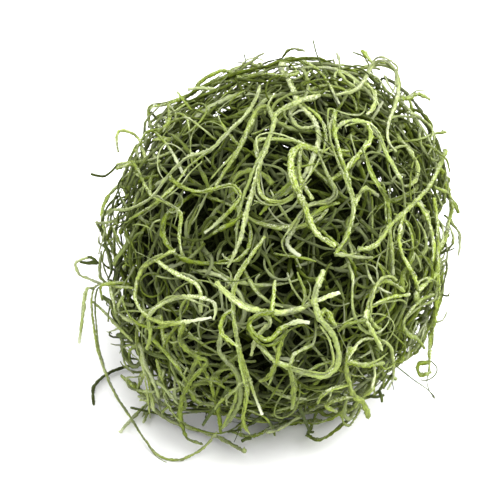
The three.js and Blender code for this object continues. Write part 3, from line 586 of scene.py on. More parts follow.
def front_point(x, y, lift):
    return point_at(x, y, max(ball_nearness(x, y) + lift, floor_nearness(y)))


def floor_point(x, y, _lift):
    return point_at(x, y, floor_nearness(y))


def laid_line(line, place):
    """The points of a line drawn on the grid: its lifts at both ends, then x and y in turn."""
    near, far, *grid = line
    count = len(grid) // 2
    return [
        place(grid[2 * i], grid[2 * i + 1], near + (far - near) * i / (count - 1))
        for i in range(count)
    ]


# ---- Lines ----
def cubic(before, a, b, after, t):
    return 0.5 * (
        2 * a
        + (b - before) * t
        + (2 * before - 5 * a + 4 * b - after) * t * t
        + (3 * a - before - 3 * b + after) * t * t * t
    )


def smooth_line(points, step=FINE_STEP):
    """A Catmull-Rom curve through the points: the cubic that leaves each one along the chord
    from the point before it to the point after it, sampled at about the step."""
    line = []
    for i in range(len(points) - 1):
        four = [points[max(i - 1, 0)], *points[i : i + 2], points[min(i + 2, len(points) - 1)]]
        steps = max(2, math.ceil(apart(four[1], four[2]) / step))
        for k in range(steps):
            line.append([cubic(*row, k / steps) for row in zip(*four)])
    line.append(points[-1])
    return line


def thinned(line):
    """The points a strand needs: close together where it curls, further apart where straight."""
    kept = [line[0]]
    left = [0.0] * len(line)
    for i in range(len(line) - 2, -1, -1):
        left[i] = left[i + 1] + apart(line[i], line[i + 1])
    run = turn = 0.0
    for i in range(1, len(line) - 1):
        before = unit(add(line[i], line[i - 1], -1))
        after = unit(add(line[i + 1], line[i], -1))
        run += apart(line[i], line[i - 1])
        turn += math.acos(clamp(dot(before, after), -1, 1))
        due = turn > RING_TURN or run > RING_MOST
        if due and run > RING_LEAST and left[i] > RING_LEAST:
            kept.append(line[i])
            run = turn = 0.0
    kept.append(line[-1])
    return kept


def wander(start, heading, length, curl, lean, phase, level, sway):
    """A strand that turns about the way out of the ball as it goes, and sways between levels.

    Its curl swells along it and with a sine. At each step its heading leans towards the level
    that it wants, and it keeps clear of the floor.
    """
    line = [start]
    p = start
    h = unit(heading)
    steps = int(math.floor(length / FINE_STEP + 0.5))
    for k in range(steps):
        s = k / steps
        out = out_of_ball(p)
        axis = unit(add(out, lean))
        turn = curl * (0.55 + 0.9 * s + 0.5 * math.sin(phase + 5 * s))
        h = turned(h, axis, turn * FINE_STEP)
        wanted = level + sway * math.sin(2 * phase + 7 * s)
        off = wanted - ball_level(p)
        climb = clamp(CLIMB * off, -CLIMB_MOST, CLIMB_MOST) - dot(h, out)
        h = unit(add(h, out, STEER * climb))
        p = add(p, h, FINE_STEP)
        if p[2] < STRAND:
            p = [p[0], p[1], STRAND]
        line.append(p)
    return line


def on_spiral(k, count, span):
    """The kth of count directions spaced evenly down a golden spiral."""
    up = SPIRAL_TOP - span * (k + 0.5) / count
    flat = math.sqrt(1 - up * up)
    return [flat * math.cos(k * GOLDEN_TURN), flat * math.sin(k * GOLDEN_TURN), up]


def level_toward(way, t):
    """The level of a strand that starts in a direction: lower under the front stems."""
    return between(FRONT_LEVEL if dot(way, TOWARD) > FRONT_SIDE else OUTER_LEVEL, t)


def on_ball(way, level):
    """The point at a level of the ball in a direction, and no lower than the floor."""
    far = level * reach_along(way)
    p = [BALL_MIDDLE[n] + BALL[n] * way[n] * far for n in range(3)]
    return [p[0], p[1], max(p[2], STRAND)]


class Tangle:
    """The strands of every node, laid, grown and settled as they are in the solids."""

    def __init__(self):
        self.points = []  # every ring centre of every strand
        self.strands = []  # (node, first point, number of points, root point, held)

    def add_strand(self, node, line, root=-1, held=False):
        kept = thinned(line)
        if root >= 0:
            kept[0] = self.points[root]
        self.strands.append((node, len(self.points), len(kept), root, held))
        self.points.extend(kept)

    def lines_of(self, node):
        """The settled points of each of a node's strands."""
        return [self.points[s[1] : s[1] + s[2]] for s in self.strands if s[0] == node]

    def nearest_ring(self, node, p):
        mine = [i for s in self.strands if s[0] == node for i in range(s[1], s[1] + s[2])]
        return min(mine, key=lambda i: apart(self.points[i], p))

    def lay_stems(self, stems, place):
        for node, lines in stems.items():
            for n, line in enumerate(lines):
                laid = laid_line(line, place)
                if n == 0:
                    self.add_strand(node, smooth_line(laid))
                    continue
                root = self.nearest_ring(node, laid[0])
                stem = self.points[root]
                rest = [p for i, p in enumerate(laid) if i > 0 or apart(p, stem) > LEAF_APART]
                self.add_strand(node, smooth_line([stem, *rest]), root)

    def crowd_at(self, p):
        """The sum over the rings so far of exp(-(distance / CROWD) squared)."""
        away = np.square(np.array(self.points) - p).sum(1)
        return float(np.exp(-away / CROWD**2).sum())

    def crowd_along(self, line):
        return sum(self.crowd_at(p) for p in line[CROWD_SKIP::CROWD_EVERY]) / len(line)

    def grow_hoops(self, node):
        """Short strands that start in the heart all over it and hold on to it there."""
        draw = drawer(HOOP_SEED)
        for k in range(HOOPS):
            way = on_spiral(k, HOOPS, HOOP_SPAN)
            start = [HEART_MIDDLE[n] + HEART[n] * way[n] * HOOP_ROOT for n in range(3)]
            along = unit(cross(way, askew(draw)))
            length = between(HOOP_LENGTH, draw())
            curl = between(HOOP_CURL, draw()) * either_way(draw)
            phase = FULL_TURN * draw()
            level = between(HOOP_LEVEL, draw())
            heading = add(scaled(way, HOOP_OUT), along)
            lean = scaled(along, HOOP_LEAN)
            line = wander(start, heading, length, curl, lean, phase, level, STEM_SWAY)
            self.add_strand(node, line, held=True)

    def grow_stem(self, node, k):
        """A stem over the barest place of the ball, with its leaves."""
        draw = drawer(STEM_SEED + SEED_STEP * k)
        wanted = draw()
        places = [on_spiral(i, PLACES, PLACE_SPAN) for i in range(PLACES)]
        crowds = [self.crowd_at(on_ball(way, level_toward(way, 0.5))) for way in places]
        way = places[crowds.index(min(crowds))]
        level = level_toward(way, wanted)
        side = either_way(draw)
        heading = turned(unit(cross(way, TOWARD)), way, FULL_TURN * draw())
        length = between(STEM_LENGTH, draw()) / 2
        curl = side * between(STEM_CURL, draw())
        lean = askew(draw)
        phase = FULL_TURN * draw()
        start = on_ball(way, level)
        halves = [
            wander(start, scaled(heading, to), length, to_curl, lean, phase, level, STEM_SWAY)
            for to, to_curl in ((-1, -0.6 * curl), (1, curl))
        ]
        self.add_strand(node, halves[0][::-1][:-1] + halves[1])
        _, first, count, _, _ = self.strands[-1]
        for j in range(LEAVES):
            hand = 1 if j % 2 else -1
            at = first + int(math.floor((j + 0.35) / LEAVES * (count - 2) + 0.5))
            stem = self.points[at]
            ahead = unit(add(self.points[at + 1], stem, -1))
            leaves = [
                self.drawn_leaf(draw, stem, ahead, -hand if n % 2 else hand, level)
                for n in range(TRIES)
            ]
            self.add_strand(node, min(leaves, key=self.crowd_along), at)

    def drawn_leaf(self, draw, stem, ahead, to, level):
        """A leaf that leaves its stem to one side."""
        heading = turned(ahead, out_of_ball(stem), to * between(LEAF_OPEN, draw()))
        length = between(LEAF_LENGTH, draw())
        curl = to * between(LEAF_CURL, draw()) * either_way(draw, 0.3)
        lean = askew(draw, LEAF_LEAN)
        phase = FULL_TURN * draw()
        wanted = level + 0.1 * (draw() - 0.4)
        return wander(stem, heading, length, curl, lean, phase, wanted, LEAF_SWAY)

    def settle(self):
        """Eases the strands of different stems apart, a little in each pass, while each ring
        keeps the bend that it had among its neighbours, as the solids were settled."""
        settling = Settling(self.points, self.strands)
        for step in range(PASSES + LAST_PASSES):
            drawing = step < PASSES
            if step % RENEW == 0:
                settling.find_near_pairs()
            if drawing:
                settling.keep_bends()
            settling.ease(drawing)
            settling.hold_in_place()
        self.points = settling.points


class Settling:
    """The arrays that the passes work on. A run is the straight piece between two rings."""

    def __init__(self, points, strands):
        self.points = np.array(points)
        index = np.arange(len(points))
        first = np.array([s[1] for s in strands])
        last = first + np.array([s[2] for s in strands]) - 1
        self.before = np.maximum(index - 1, 0)
        self.after = np.minimum(index + 1, len(points) - 1)
        self.is_first = np.isin(index, first)
        self.is_last = np.isin(index, last)
        self.rooted = [(s[1], s[3]) for s in strands if s[3] >= 0]
        self.held = np.array([s[1] for s in strands if s[4]])
        self.free = np.ones(len(points), bool)
        self.free[[f for f, _ in self.rooted]] = False
        self.free[self.held] = False
        self.laid = self.points.copy()
        self.bends = self.points - self.neighbours_mean()
        nodes = list(dict.fromkeys(s[0] for s in strands))
        self.nodes = range(len(nodes))
        self.runs = np.concatenate([np.arange(f, e) for f, e in zip(first, last)])
        self.run_node = np.concatenate(
            [np.full(e - f, nodes.index(s[0])) for s, f, e in zip(strands, first, last)]
        )
        self.of_heart = np.zeros(len(points), bool)
        self.still = np.zeros(len(points), bool)
        for name, f, count, root, _ in strands:
            self.of_heart[f : f + count] = name == "matted_heart"
            self.still[f : f + count] = name in LIES_STILL and root < 0

    def neighbours_mean(self):
        points = self.points
        mean = (points[self.before] + points[self.after]) / 2
        mean[self.is_first] = points[self.after][self.is_first]
        mean[self.is_last] = points[self.before][self.is_last]
        return mean

    def keep_bends(self):
        wanted = self.bends + self.neighbours_mean()
        kept = self.points[self.free] * (1 - KEEP_SHAPE)
        self.points[self.free] = kept + wanted[self.free] * KEEP_SHAPE

    def find_near_pairs(self):
        """The pairs of runs of different nodes that may come within SPACE before long."""
        a, b = self.points[self.runs], self.points[self.runs + 1]
        middles = (a + b) / 2
        halves = np.linalg.norm(b - a, axis=1) / 2
        every = np.arange(len(self.runs))
        found = []
        for rows in np.split(every, range(BATCH, len(every), BATCH)):
            off = middles[rows, None, :] - middles[None, :, :]
            far = np.sqrt((off**2).sum(-1))
            near = far < halves[rows, None] + halves[None, :] + SPACE + NEAR
            near &= self.run_node[rows, None] != self.run_node[None, :]
            near &= rows[:, None] < every[None, :]
            i, j = np.nonzero(near)
            found.append(np.stack([rows[i], j], 1))
        self.pairs = np.concatenate(found)

    def closest(self):
        """Where each pair comes nearest: shares along both runs, and the way and distance."""
        one, two = self.runs[self.pairs[:, 0]], self.runs[self.pairs[:, 1]]
        p, q = self.points[one], self.points[two]
        d1, d2 = self.points[one + 1] - p, self.points[two + 1] - q
        r = p - q
        a, e, f = (d1 * d1).sum(1), (d2 * d2).sum(1), (d2 * r).sum(1)
        c, b = (d1 * r).sum(1), (d1 * d2).sum(1)
        wide = a * e - b * b
        safe = np.where(wide > TINY, wide, 1)
        s = np.where(wide > TINY, np.clip((b * f - c * e) / safe, 0, 1), 0.5)
        t = np.clip((b * s + f) / e, 0, 1)
        s = np.clip((b * t - c) / a, 0, 1)
        way = p + d1 * s[:, None] - q - d2 * t[:, None]
        return s, t, way, np.sqrt((way**2).sum(1))

    def ease(self, drawing):
        """Pushes close pairs apart, and draws the nearest pair of a lone node together."""
        s, t, way, distance = self.closest()
        chosen = [np.nonzero(distance < SPACE)[0]]
        for node in self.nodes if drawing else ():
            mine = np.nonzero((self.run_node[self.pairs] == node).any(1))[0]
            if len(mine):
                nearest = mine[np.argmin(distance[mine])]
                if distance[nearest] > SPACE + SLACK:
                    chosen.append(np.array([nearest]))
        use = np.concatenate(chosen)
        s, t, way, distance = s[use], t[use], way[use], distance[use]
        one, two = self.runs[self.pairs[use, 0]], self.runs[self.pairs[use, 1]]
        out = way / np.maximum(distance, TINY)[:, None]
        meeting = distance < MEETING
        if meeting.any():
            out[meeting] = outs_of_ball(self.points[one[meeting]])
        amount = (SPACE + SLACK - distance) / 2
        left = (1 - s) ** 2 + s**2
        right = (1 - t) ** 2 + t**2
        push = np.zeros_like(self.points)
        pushes = np.zeros(len(self.points))
        for where, share in (
            (one, (1 - s) / left),
            (one + 1, s / left),
            (two, -(1 - t) / right),
            (two + 1, -t / right),
        ):
            np.add.at(push, where, out * (amount * share)[:, None])
            np.add.at(pushes, where, 1)
        moved = pushes > 0
        taken = np.minimum(1, PUSH_MOST / pushes[moved])[:, None]
        self.points[moved] += push[moved] * taken

    def hold_in_place(self):
        """Keeps the rings off the floor, out of the heart and at their roots."""
        points = self.points
        points[self.still] = self.laid[self.still]
        points[:, 2] = np.maximum(points[:, 2], STRAND + OFF_FLOOR)
        level = heart_levels(points)
        wanted = 1 + (STRAND + HEART_CLEAR) / HEART[0]
        inside = (level < wanted) & ~self.of_heart
        away = outs_of_heart(points[inside])
        points[inside] += away * ((wanted - level[inside]) * HEART[0])[:, None]
        points[self.held] = self.laid[self.held]
        for start, root in self.rooted:
            points[start] = points[root]


@functools.lru_cache
def tangle():
    """The settled tangle, worked out once."""
    made = Tangle()
    made.grow_hoops("matted_heart")
    made.lay_stems(FRONT_STEMS, front_point)
    made.lay_stems({**FLOOR_STEMS, **DEAD_STEMS}, floor_point)
    for k in range(STEMS):
        made.grow_stem(f"leafy_stem_{k + 1:02d}", k)
    made.settle()
    return made


# ---- Strand surfaces ----
def frames_along(path):
    """Unit vectors ahead of, beside and across a path.

    The one beside is square to the direction that the path as a whole runs along least.
    """
    ahead = units(np.gradient(path, axis=0))
    least = np.linalg.eigh(ahead.T @ ahead)[1]
    choices = np.concatenate([least.T, np.eye(3)])
    clear = np.linalg.norm(np.cross(ahead[None], choices[:, None]), axis=2).min(1)
    side = units(np.cross(ahead, choices[np.argmax(clear)]))
    return ahead, side, np.cross(ahead, side)


def length_along(path):
    """How far along the path each of its points is."""
    return np.concatenate([[0], np.cumsum(np.linalg.norm(np.diff(path, axis=0), axis=1))])


def closed_tube(first, rings, around):
    """The four-sided faces of rings of points numbered from first, and the caps that join both
    end rings to the poles, which are the two points that follow them."""
    ring = first + np.arange(rings - 1)[:, None] * around
    here = np.arange(around)
    beside = (here + 1) % around
    quads = np.stack(
        [ring + here, ring + beside, ring + around + beside, ring + around + here], -1
    )
    top = first + (rings - 1) * around
    pole = np.full(around, first + rings * around)
    low = np.stack([pole, first + beside, first + here], -1)
    high = np.stack([pole + 1, top + here, top + beside], -1)
    return quads.reshape(-1, 4), np.concatenate([low, high])


class Strands:
    """Collects closed tubes of points and turns them into one mesh.

    Its strands share a source of draws, a flatness and a share of fray.
    """

    def __init__(self, rng, flat, fray):
        self.rng, self.flat, self.fray = rng, flat, fray
        self.vertices = []
        self.quads = []
        self.caps = []
        self.grain = []
        self.tone = []
        self.count = 0

    def put(self, rings, poles, grain, tone, downward=False):
        """Rings of points and a pole for each end, with the rings' grain and tone. Rings that
        run down, and not up, turn their faces over."""
        quads, caps = closed_tube(self.count, *rings.shape[:2])
        if downward:
            quads, caps = quads[:, [0, 3, 2, 1]], caps[:, [0, 2, 1]]
        self.quads.append(quads)
        self.caps.append(caps)
        self.vertices.append(np.concatenate([rings.reshape(-1, 3), poles]))
        self.grain.append(np.concatenate([grain.reshape(-1, 3), grain[[0, -1]].mean(1)]))
        self.tone.append(np.concatenate([tone.reshape(-1, 3), tone[[0, -1], 0]]))
        self.count += len(self.vertices[-1])

    def add(self, path, radius, sides, hue, pale, shade_and_own_dark, flat=None):
        """One strand along an (n, 3) path.

        Point j of ring i is the path's point, plus radius[i] cos(a) along the ring's long axis
        and `flat` times radius[i] sin(a) along its short one, where a is j shares of a turn. The
        long axis rolls slowly along the strand. Fray moves each point in or out by a share of
        the radius, in slow waves and point by point.
        """
        rng, flat = self.rng, flat or self.flat
        ahead, side, other = frames_along(path)
        along = length_along(path)[:, None]
        angle = np.arange(sides) * 2 * math.pi / sides
        roll = rng.uniform(0, 2 * math.pi) + along * rng.uniform(-0.12, 0.12)
        wave = np.sin(along * 1.7 + 2.3 * angle + rng.uniform(0, 6))
        rough = 1 + self.fray * (0.4 * wave + rng.uniform(-1, 1, (len(path), sides)))
        wide = radius[:, None] * np.cos(angle) * rough
        thick = radius[:, None] * flat * np.sin(angle) * rough
        across = wide * np.cos(roll) - thick * np.sin(roll)
        through = wide * np.sin(roll) + thick * np.cos(roll)
        rings = (
            path[:, None, :]
            + across[:, :, None] * side[:, None, :]
            + through[:, :, None] * other[:, None, :]
        )
        start = path[0] - ahead[0] * radius[0] * BLUNT
        end = path[-1] + ahead[-1] * radius[-1] * BLUNT
        turn = angle + roll
        run = np.broadcast_to(along + rng.uniform(0, 500), turn.shape)
        grain = np.stack([run, np.cos(turn), np.sin(turn)], -1)
        tone = np.empty(grain.shape)
        tone[:, :, 0] = hue
        tone[:, :, 1] = pale[:, None]
        # tone z: the strand's own random darkening plus painted shade deeper inside the ball
        tone[:, :, 2] = shade_and_own_dark[:, None]
        self.put(rings, [start, end], grain, tone)

    def mesh(self, name):
        vertices = np.concatenate(self.vertices) * METRE
        vertices[:, 2] = np.maximum(vertices[:, 2], FLOOR_CLEAR)
        quads, caps = np.concatenate(self.quads), np.concatenate(self.caps)
        made = bpy.data.meshes.new(name)
        made.vertices.add(len(vertices))
        made.vertices.foreach_set("co", vertices.astype(np.float32).ravel())
        loops = np.concatenate([quads.ravel(), caps.ravel()])
        made.loops.add(len(loops))
        made.loops.foreach_set("vertex_index", loops.astype(np.int32))
        starts = np.cumsum(np.repeat([0, 4, 3], [1, len(quads), len(caps) - 1]))
        made.polygons.add(len(starts))
        made.polygons.foreach_set("loop_start", starts.astype(np.int32))
        made.polygons.foreach_set("use_smooth", np.ones(len(starts), bool))
        for label, rows in (("grain", self.grain), ("tone", self.tone)):
            attribute = made.attributes.new(label, "FLOAT_VECTOR", "POINT")
            attribute.data.foreach_set("vector", np.concatenate(rows).astype(np.float32).ravel())
        made.update(calc_edges=True)
        made.validate()
        return made


def even_path(points, step):
    """The smooth line through the points, at even steps along its length."""
    line = np.array(smooth_line([list(map(float, p)) for p in points], CURVE_STEP))
    along = length_along(line)
    count = max(4, int(round(along[-1] / step)) + 1)
    at = np.linspace(0, along[-1], count)
    return np.stack([np.interp(at, along, line[:, n]) for n in range(3)], 1)


def depth_in_ball(path):
    """0 at the ball's surface, 1 well inside it: the share of painted shade."""
    return np.clip((PAINTED_SHADE_LEVELS[0] - ball_levels(path)) / (PAINTED_SHADE_LEVELS[0] - PAINTED_SHADE_LEVELS[1]), 0, 1)


def shaded(path, own):
    """How darkened a strand is: its own random darkening everywhere, plus painted shade that is
    full well inside the ball.
    """
    return own + (1 - own) * depth_in_ball(path)


def strand_profile(path, width, narrow, rng):
    """Half widths along a strand: it swells and thins slowly, and narrows over its last part."""
    s = np.linspace(0, 1, len(path))
    swell = 1 + 0.1 * np.sin(2 * math.pi * (s * rng.uniform(1, 3) + rng.uniform()))
    tip = 1 - (1 - narrow) * np.clip((s - 0.72) / 0.28, 0, 1) ** 1.4
    return width * swell * tip


def companion(path, rng):
    """A finer strand that keeps beside another, winds round it and strays off near its end."""
    _, side, other = frames_along(path)
    s = np.linspace(0, 1, len(path))
    turn = rng.uniform(0, 6.3) + s * rng.uniform(-5, 5)
    off = 0.75 + 0.5 * np.sin(s * rng.uniform(4, 9) + rng.uniform(0, 6))
    off = off + rng.uniform(0.5, 2.6) * np.clip((s - 0.55) / 0.45, 0, 1) ** 1.5
    off = (off * np.clip(s / 0.12, 0, 1))[:, None]
    beside = path + off * (np.cos(turn)[:, None] * side + np.sin(turn)[:, None] * other)
    first = int(len(path) * rng.uniform(0, 0.3))
    last = int(len(path) * rng.uniform(0.7, 1))
    beside[:, 2] = np.maximum(beside[:, 2], COMPANION_HEIGHT)
    return beside[first : max(last, first + 6)]


def new_piece(name, strands, material, slot="moss_green", nodes=()):
    made = bpy.data.objects.new(name, strands.mesh(name))
    bpy.context.scene.collection.objects.link(made)
    made.data.materials.append(material)
    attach(made, "root")
    if nodes:
        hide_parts(*nodes)


# ---- Materials ----
def new_group(name, inputs, outputs):
    group = bpy.data.node_groups.new(name, "ShaderNodeTree")
    for label, kind, value in inputs:
        socket = group.interface.new_socket(label, in_out="INPUT", socket_type=kind)
        socket.default_value = value
    for label, kind in outputs:
        group.interface.new_socket(label, in_out="OUTPUT", socket_type=kind)
    return group, group.nodes.new("NodeGroupInput"), group.nodes.new("NodeGroupOutput")


def node(tree, kind, inputs=None, **settings):
    """A node with its settings, and its inputs either set to a value or linked from a socket."""
    made = tree.nodes.new(kind)
    for key, value in settings.items():
        setattr(made, key, value)
    for key, value in (inputs or {}).items():
        socket = made.inputs[key]
        if isinstance(value, bpy.types.NodeSocket):
            tree.links.new(value, socket)
        else:
            socket.default_value = value
    return made


def mixed(tree, factor, a, b):
    """Colour a at 0, colour b at 1."""
    return node(tree, "ShaderNodeMix", {0: factor, 6: a, 7: b}, data_type="RGBA").outputs[2]


def maths(tree, operation, *values, clamp=False):
    inputs = dict(enumerate(values))
    made = node(tree, "ShaderNodeMath", inputs, operation=operation, use_clamp=clamp)
    return made.outputs[0]


def noise(tree, vector, scale, detail, roughness):
    inputs = {"Vector": vector, "Scale": scale, "Detail": detail, "Roughness": roughness}
    return node(tree, "ShaderNodeTexNoise", inputs).outputs["Fac"]


def stretched(tree, vector, factors):
    return node(
        tree, "ShaderNodeVectorMath", {0: vector, 1: factors}, operation="MULTIPLY"
    ).outputs[0]


def ramp(tree, source, low, high):
    """0 below low, 1 above high, and a smooth rise between them."""
    return node(
        tree, "ShaderNodeMapRange", {0: source, 1: low, 2: high, 3: 0.0, 4: 1.0},
        interpolation_type="SMOOTHSTEP",
    ).outputs[0]


def moss_colour_group():
    """The moss's colour from a strand's own tone and grain.

    Tone x leans it from yellow-green to grey-green, tone y bleaches it and tone z darkens it. Tone
    z is the strand's own random darkening plus painted shade deeper inside the ball; the grey lean
    is taken off where it darkens. Striations run along the grain, dull blots are flecked over it,
    and silvery scales lie thickest in stretches. Their frost is also a painted highlight: stronger
    on the sides that face up, and fainter on darkened strands.
    """
    if "Moss colour" in bpy.data.node_groups:
        return bpy.data.node_groups["Moss colour"]
    group, given, out = new_group(
        "Moss colour",
        [
            ("Leaf", "NodeSocketColor", (0.3, 0.38, 0.08, 1)),
            ("Grey", "NodeSocketColor", (0.3, 0.35, 0.15, 1)),
            ("Pale", "NodeSocketColor", (0.7, 0.75, 0.45, 1)),
            ("Dull", "NodeSocketColor", (0.05, 0.06, 0.02, 1)),
            ("Scales", "NodeSocketFloat", 0.5),
            ("Shade", "NodeSocketFloat", 0.8),
        ],
        [("Colour", "NodeSocketColor"), ("Height", "NodeSocketFloat")],
    )
    leaf, grey, pale, dull, scaly, shady = (given.outputs[n] for n in range(6))
    tone = node(group, "ShaderNodeAttribute", attribute_name="tone").outputs["Vector"]
    own_hue, bleached, dark = node(group, "ShaderNodeSeparateXYZ", {0: tone}).outputs
    grain = node(group, "ShaderNodeAttribute", attribute_name="grain").outputs["Vector"]
    place = node(group, "ShaderNodeTexCoord").outputs["Object"]
    facing = node(group, "ShaderNodeNewGeometry").outputs["Normal"]
    upright = node(group, "ShaderNodeSeparateXYZ", {0: facing}).outputs[2]

    stripes = noise(group, stretched(group, grain, (0.35, 2.2, 2.2)), 1.2, 3.0, 0.65)
    scales = noise(group, stretched(group, grain, (1.7, 1.1, 1.1)), 1.5, 3.0, 0.7)
    stretches = noise(group, stretched(group, grain, (0.16, 0.3, 0.3)), 1.0, 2.0, 0.5)
    blots = noise(group, place, 330.0, 4.0, 0.7)

    # share not darkened, neither by the strand's own darkening nor by painted shade
    bare = maths(group, "SUBTRACT", 1.0, dark)
    scales_and_painted_highlight = maths(group, "MULTIPLY_ADD", ramp(group, stretches, 0.42, 0.6), 0.75, 0.25)
    # painted highlight: the scales show stronger on the sides that face up
    scales_and_painted_highlight = maths(group, "MULTIPLY", scales_and_painted_highlight, ramp(group, upright, -0.5, 0.9))
    # and fainter on darkened strands, so the painted highlight stays out of the painted shade
    scales_and_painted_highlight = maths(group, "MULTIPLY", scales_and_painted_highlight, bare)
    scales_and_painted_highlight = maths(group, "MULTIPLY", scales_and_painted_highlight, ramp(group, scales, 0.46, 0.56))
    hue = maths(group, "ADD", own_hue, maths(group, "MULTIPLY_ADD", blots, 0.7, -0.35), clamp=True)
    # grey-green lean taken off darkened strands, so the painted shade stays a saturated green
    colour = mixed(group, maths(group, "MULTIPLY", hue, bare), leaf, grey)
    between_scales = mixed(group, 0.62, colour, dull)
    colour = mixed(group, ramp(group, stripes, 0.4, 0.54), between_scales, colour)
    blotted = maths(group, "MULTIPLY", ramp(group, blots, 0.5, 0.62), 0.5)
    colour = mixed(group, blotted, colour, dull)
    colour = mixed(group, maths(group, "MULTIPLY", scales_and_painted_highlight, scaly), colour, pale)
    colour = mixed(group, bleached, colour, pale)
    # painted shade: darkened strands are mixed toward the dull colour by tone z and Shade
    colour = mixed(group, maths(group, "MULTIPLY", dark, shady, clamp=True), colour, dull)
    group.links.new(colour, out.inputs["Colour"])
    group.links.new(maths(group, "ADD", stripes, scales), out.inputs["Height"])
    return group


def moss_material(name, leaf, grey, pale, dull, scales, shade, sheen):
    """Dry, scaly moss: matt, with a soft sheen from its scales."""
    if name in bpy.data.materials:
        return bpy.data.materials[name]
    material = bpy.data.materials.new(name)
    material.use_nodes = True
    tree = material.node_tree
    tree.nodes.clear()
    colours = node(tree, "ShaderNodeGroup", node_tree=moss_colour_group())
    for label, value in (("Leaf", leaf), ("Grey", grey), ("Pale", pale), ("Dull", dull)):
        colours.inputs[label].default_value = (*value, 1)
    colours.inputs["Scales"].default_value = scales
    colours.inputs["Shade"].default_value = shade
    bump = node(
        tree, "ShaderNodeBump",
        {"Height": colours.outputs["Height"], "Strength": 0.9, "Distance": 0.00026},
    )
    shader = node(
        tree, "ShaderNodeBsdfPrincipled",
        {
            "Base Color": colours.outputs["Colour"],
            "Roughness": 0.8,
            "Specular IOR Level": 0.06,
            "Specular Tint": SHEEN_TINT,
            "Sheen Weight": sheen,
            "Sheen Roughness": 0.4,
            "Sheen Tint": SHEEN_TINT,
            "Normal": bump.outputs[0],
        },
    )
    node(tree, "ShaderNodeOutputMaterial", {"Surface": shader.outputs[0]})
    return material


def floor_material():
    if "pale floor" in bpy.data.materials:
        return bpy.data.materials["pale floor"]
    material = bpy.data.materials.new("pale floor")
    material.use_nodes = True
    shader = material.node_tree.nodes["Principled BSDF"]
    shader.inputs["Base Color"].default_value = (0.93, 0.93, 0.93, 1)
    shader.inputs["Roughness"].default_value = 0.9
    shader.inputs["Specular IOR Level"].default_value = 0.1
    return material


def green_moss(finish):
    return moss_material(
        "dyed green moss", finish.leaf, finish.grey, finish.pale, finish.dull, finish.scales,
        finish.shade, 0.03,
    )


def dead_moss(finish):
    # 0.5 is its share of painted shade for strands darkened inside the ball
    return moss_material(
        "dead stem", finish.dead, [c * 0.6 for c in finish.dead], (0.2, 0.23, 0.1),
        (0.012, 0.014, 0.006), 0.3, 0.5, 0.02,
    )


# ---- Settings ----
class MossStrandSettings(bpy.types.PropertyGroup):
    width: bpy.props.FloatProperty(
        name="Strand width", description="Half the width of a stem or leaf, in millimetres",
        default=0.51, min=0.3, max=1.0,
    )
    flat: bpy.props.FloatProperty(
        name="Flatness", description="A strand's thickness as a share of its width",
        default=0.74, min=0.3, max=1.0, subtype="FACTOR",
    )
    fray: bpy.props.FloatProperty(
        name="Fray", description="How rough the scales make a strand's sides",
        default=0.38, min=0.0, max=0.6, subtype="FACTOR",
    )
    doubled: bpy.props.FloatProperty(
        name="Doubled", description="Share of strands with a finer one winding beside them",
        default=0.7, min=0.0, max=1.0, subtype="FACTOR",
    )
    inner: bpy.props.IntProperty(
        name="Inner strands", description="Strands that fill the inside", default=680, min=0,
        max=900,
    )
    outer: bpy.props.IntProperty(
        name="Outer strands", description="Finer strands near the outside", default=600, min=0,
        max=900,
    )
    ends: bpy.props.IntProperty(
        name="Frayed ends", description="Short ends that stand out all round", default=320, min=0,
        max=600,
    )
    fibres: bpy.props.IntProperty(
        name="Fibres", description="Thin stray fibres", default=150, min=0, max=400,
    )


class MossFinishSettings(bpy.types.PropertyGroup):
    leaf: bpy.props.FloatVectorProperty(
        name="Leaf", description="Dyed yellow-green of most strands", subtype="COLOR",
        default=(0.25, 0.345, 0.015), min=0, max=1,
    )
    grey: bpy.props.FloatVectorProperty(
        name="Grey", description="Grey-green of the scalier strands", subtype="COLOR",
        default=(0.33, 0.405, 0.08), min=0, max=1,
    )
    pale: bpy.props.FloatVectorProperty(
        name="Pale", description="Scales and bleached tips", subtype="COLOR",
        default=(0.86, 0.9, 0.66), min=0, max=1,
    )
    # Dull serves both the blots and the painted shade inside the ball
    dull: bpy.props.FloatVectorProperty(
        name="Dull", description="Blots and the shaded inside", subtype="COLOR",
        default=(0.005, 0.008, 0.001), min=0, max=1,
    )
    dead: bpy.props.FloatVectorProperty(
        name="Dead", description="Dead stems and wiry fibres", subtype="COLOR",
        default=(0.09, 0.12, 0.03), min=0, max=1,
    )
    scales: bpy.props.FloatProperty(
        name="Scales", description="How strongly the scales show", default=0.7, min=0, max=1,
        subtype="FACTOR",
    )
    # Share of painted shade: how far darkened strands are mixed toward the dull colour
    shade: bpy.props.FloatProperty(
        name="Shade", description="How dark the strands get inside the ball", default=0.98,
        min=0, max=1, subtype="FACTOR",
    )


class MossStageSettings(bpy.types.PropertyGroup):
    eye: bpy.props.FloatProperty(
        name="Eye distance", description="From the camera to the ball's middle",
        default=0.48, unit="LENGTH", min=0.2, max=2.0,
    )
    floor: bpy.props.FloatProperty(
        name="Floor", description="Width of the pale floor", default=6.0, unit="LENGTH",
        min=1.0, max=20.0,
    )
    key: bpy.props.FloatProperty(
        name="Key light", description="Power of the large light above", default=15.5, min=0,
        max=60, unit="POWER",
    )
    fill: bpy.props.FloatProperty(
        name="Surroundings", description="Strength of the even light from all round",
        default=1.0, min=0, max=3,
    )


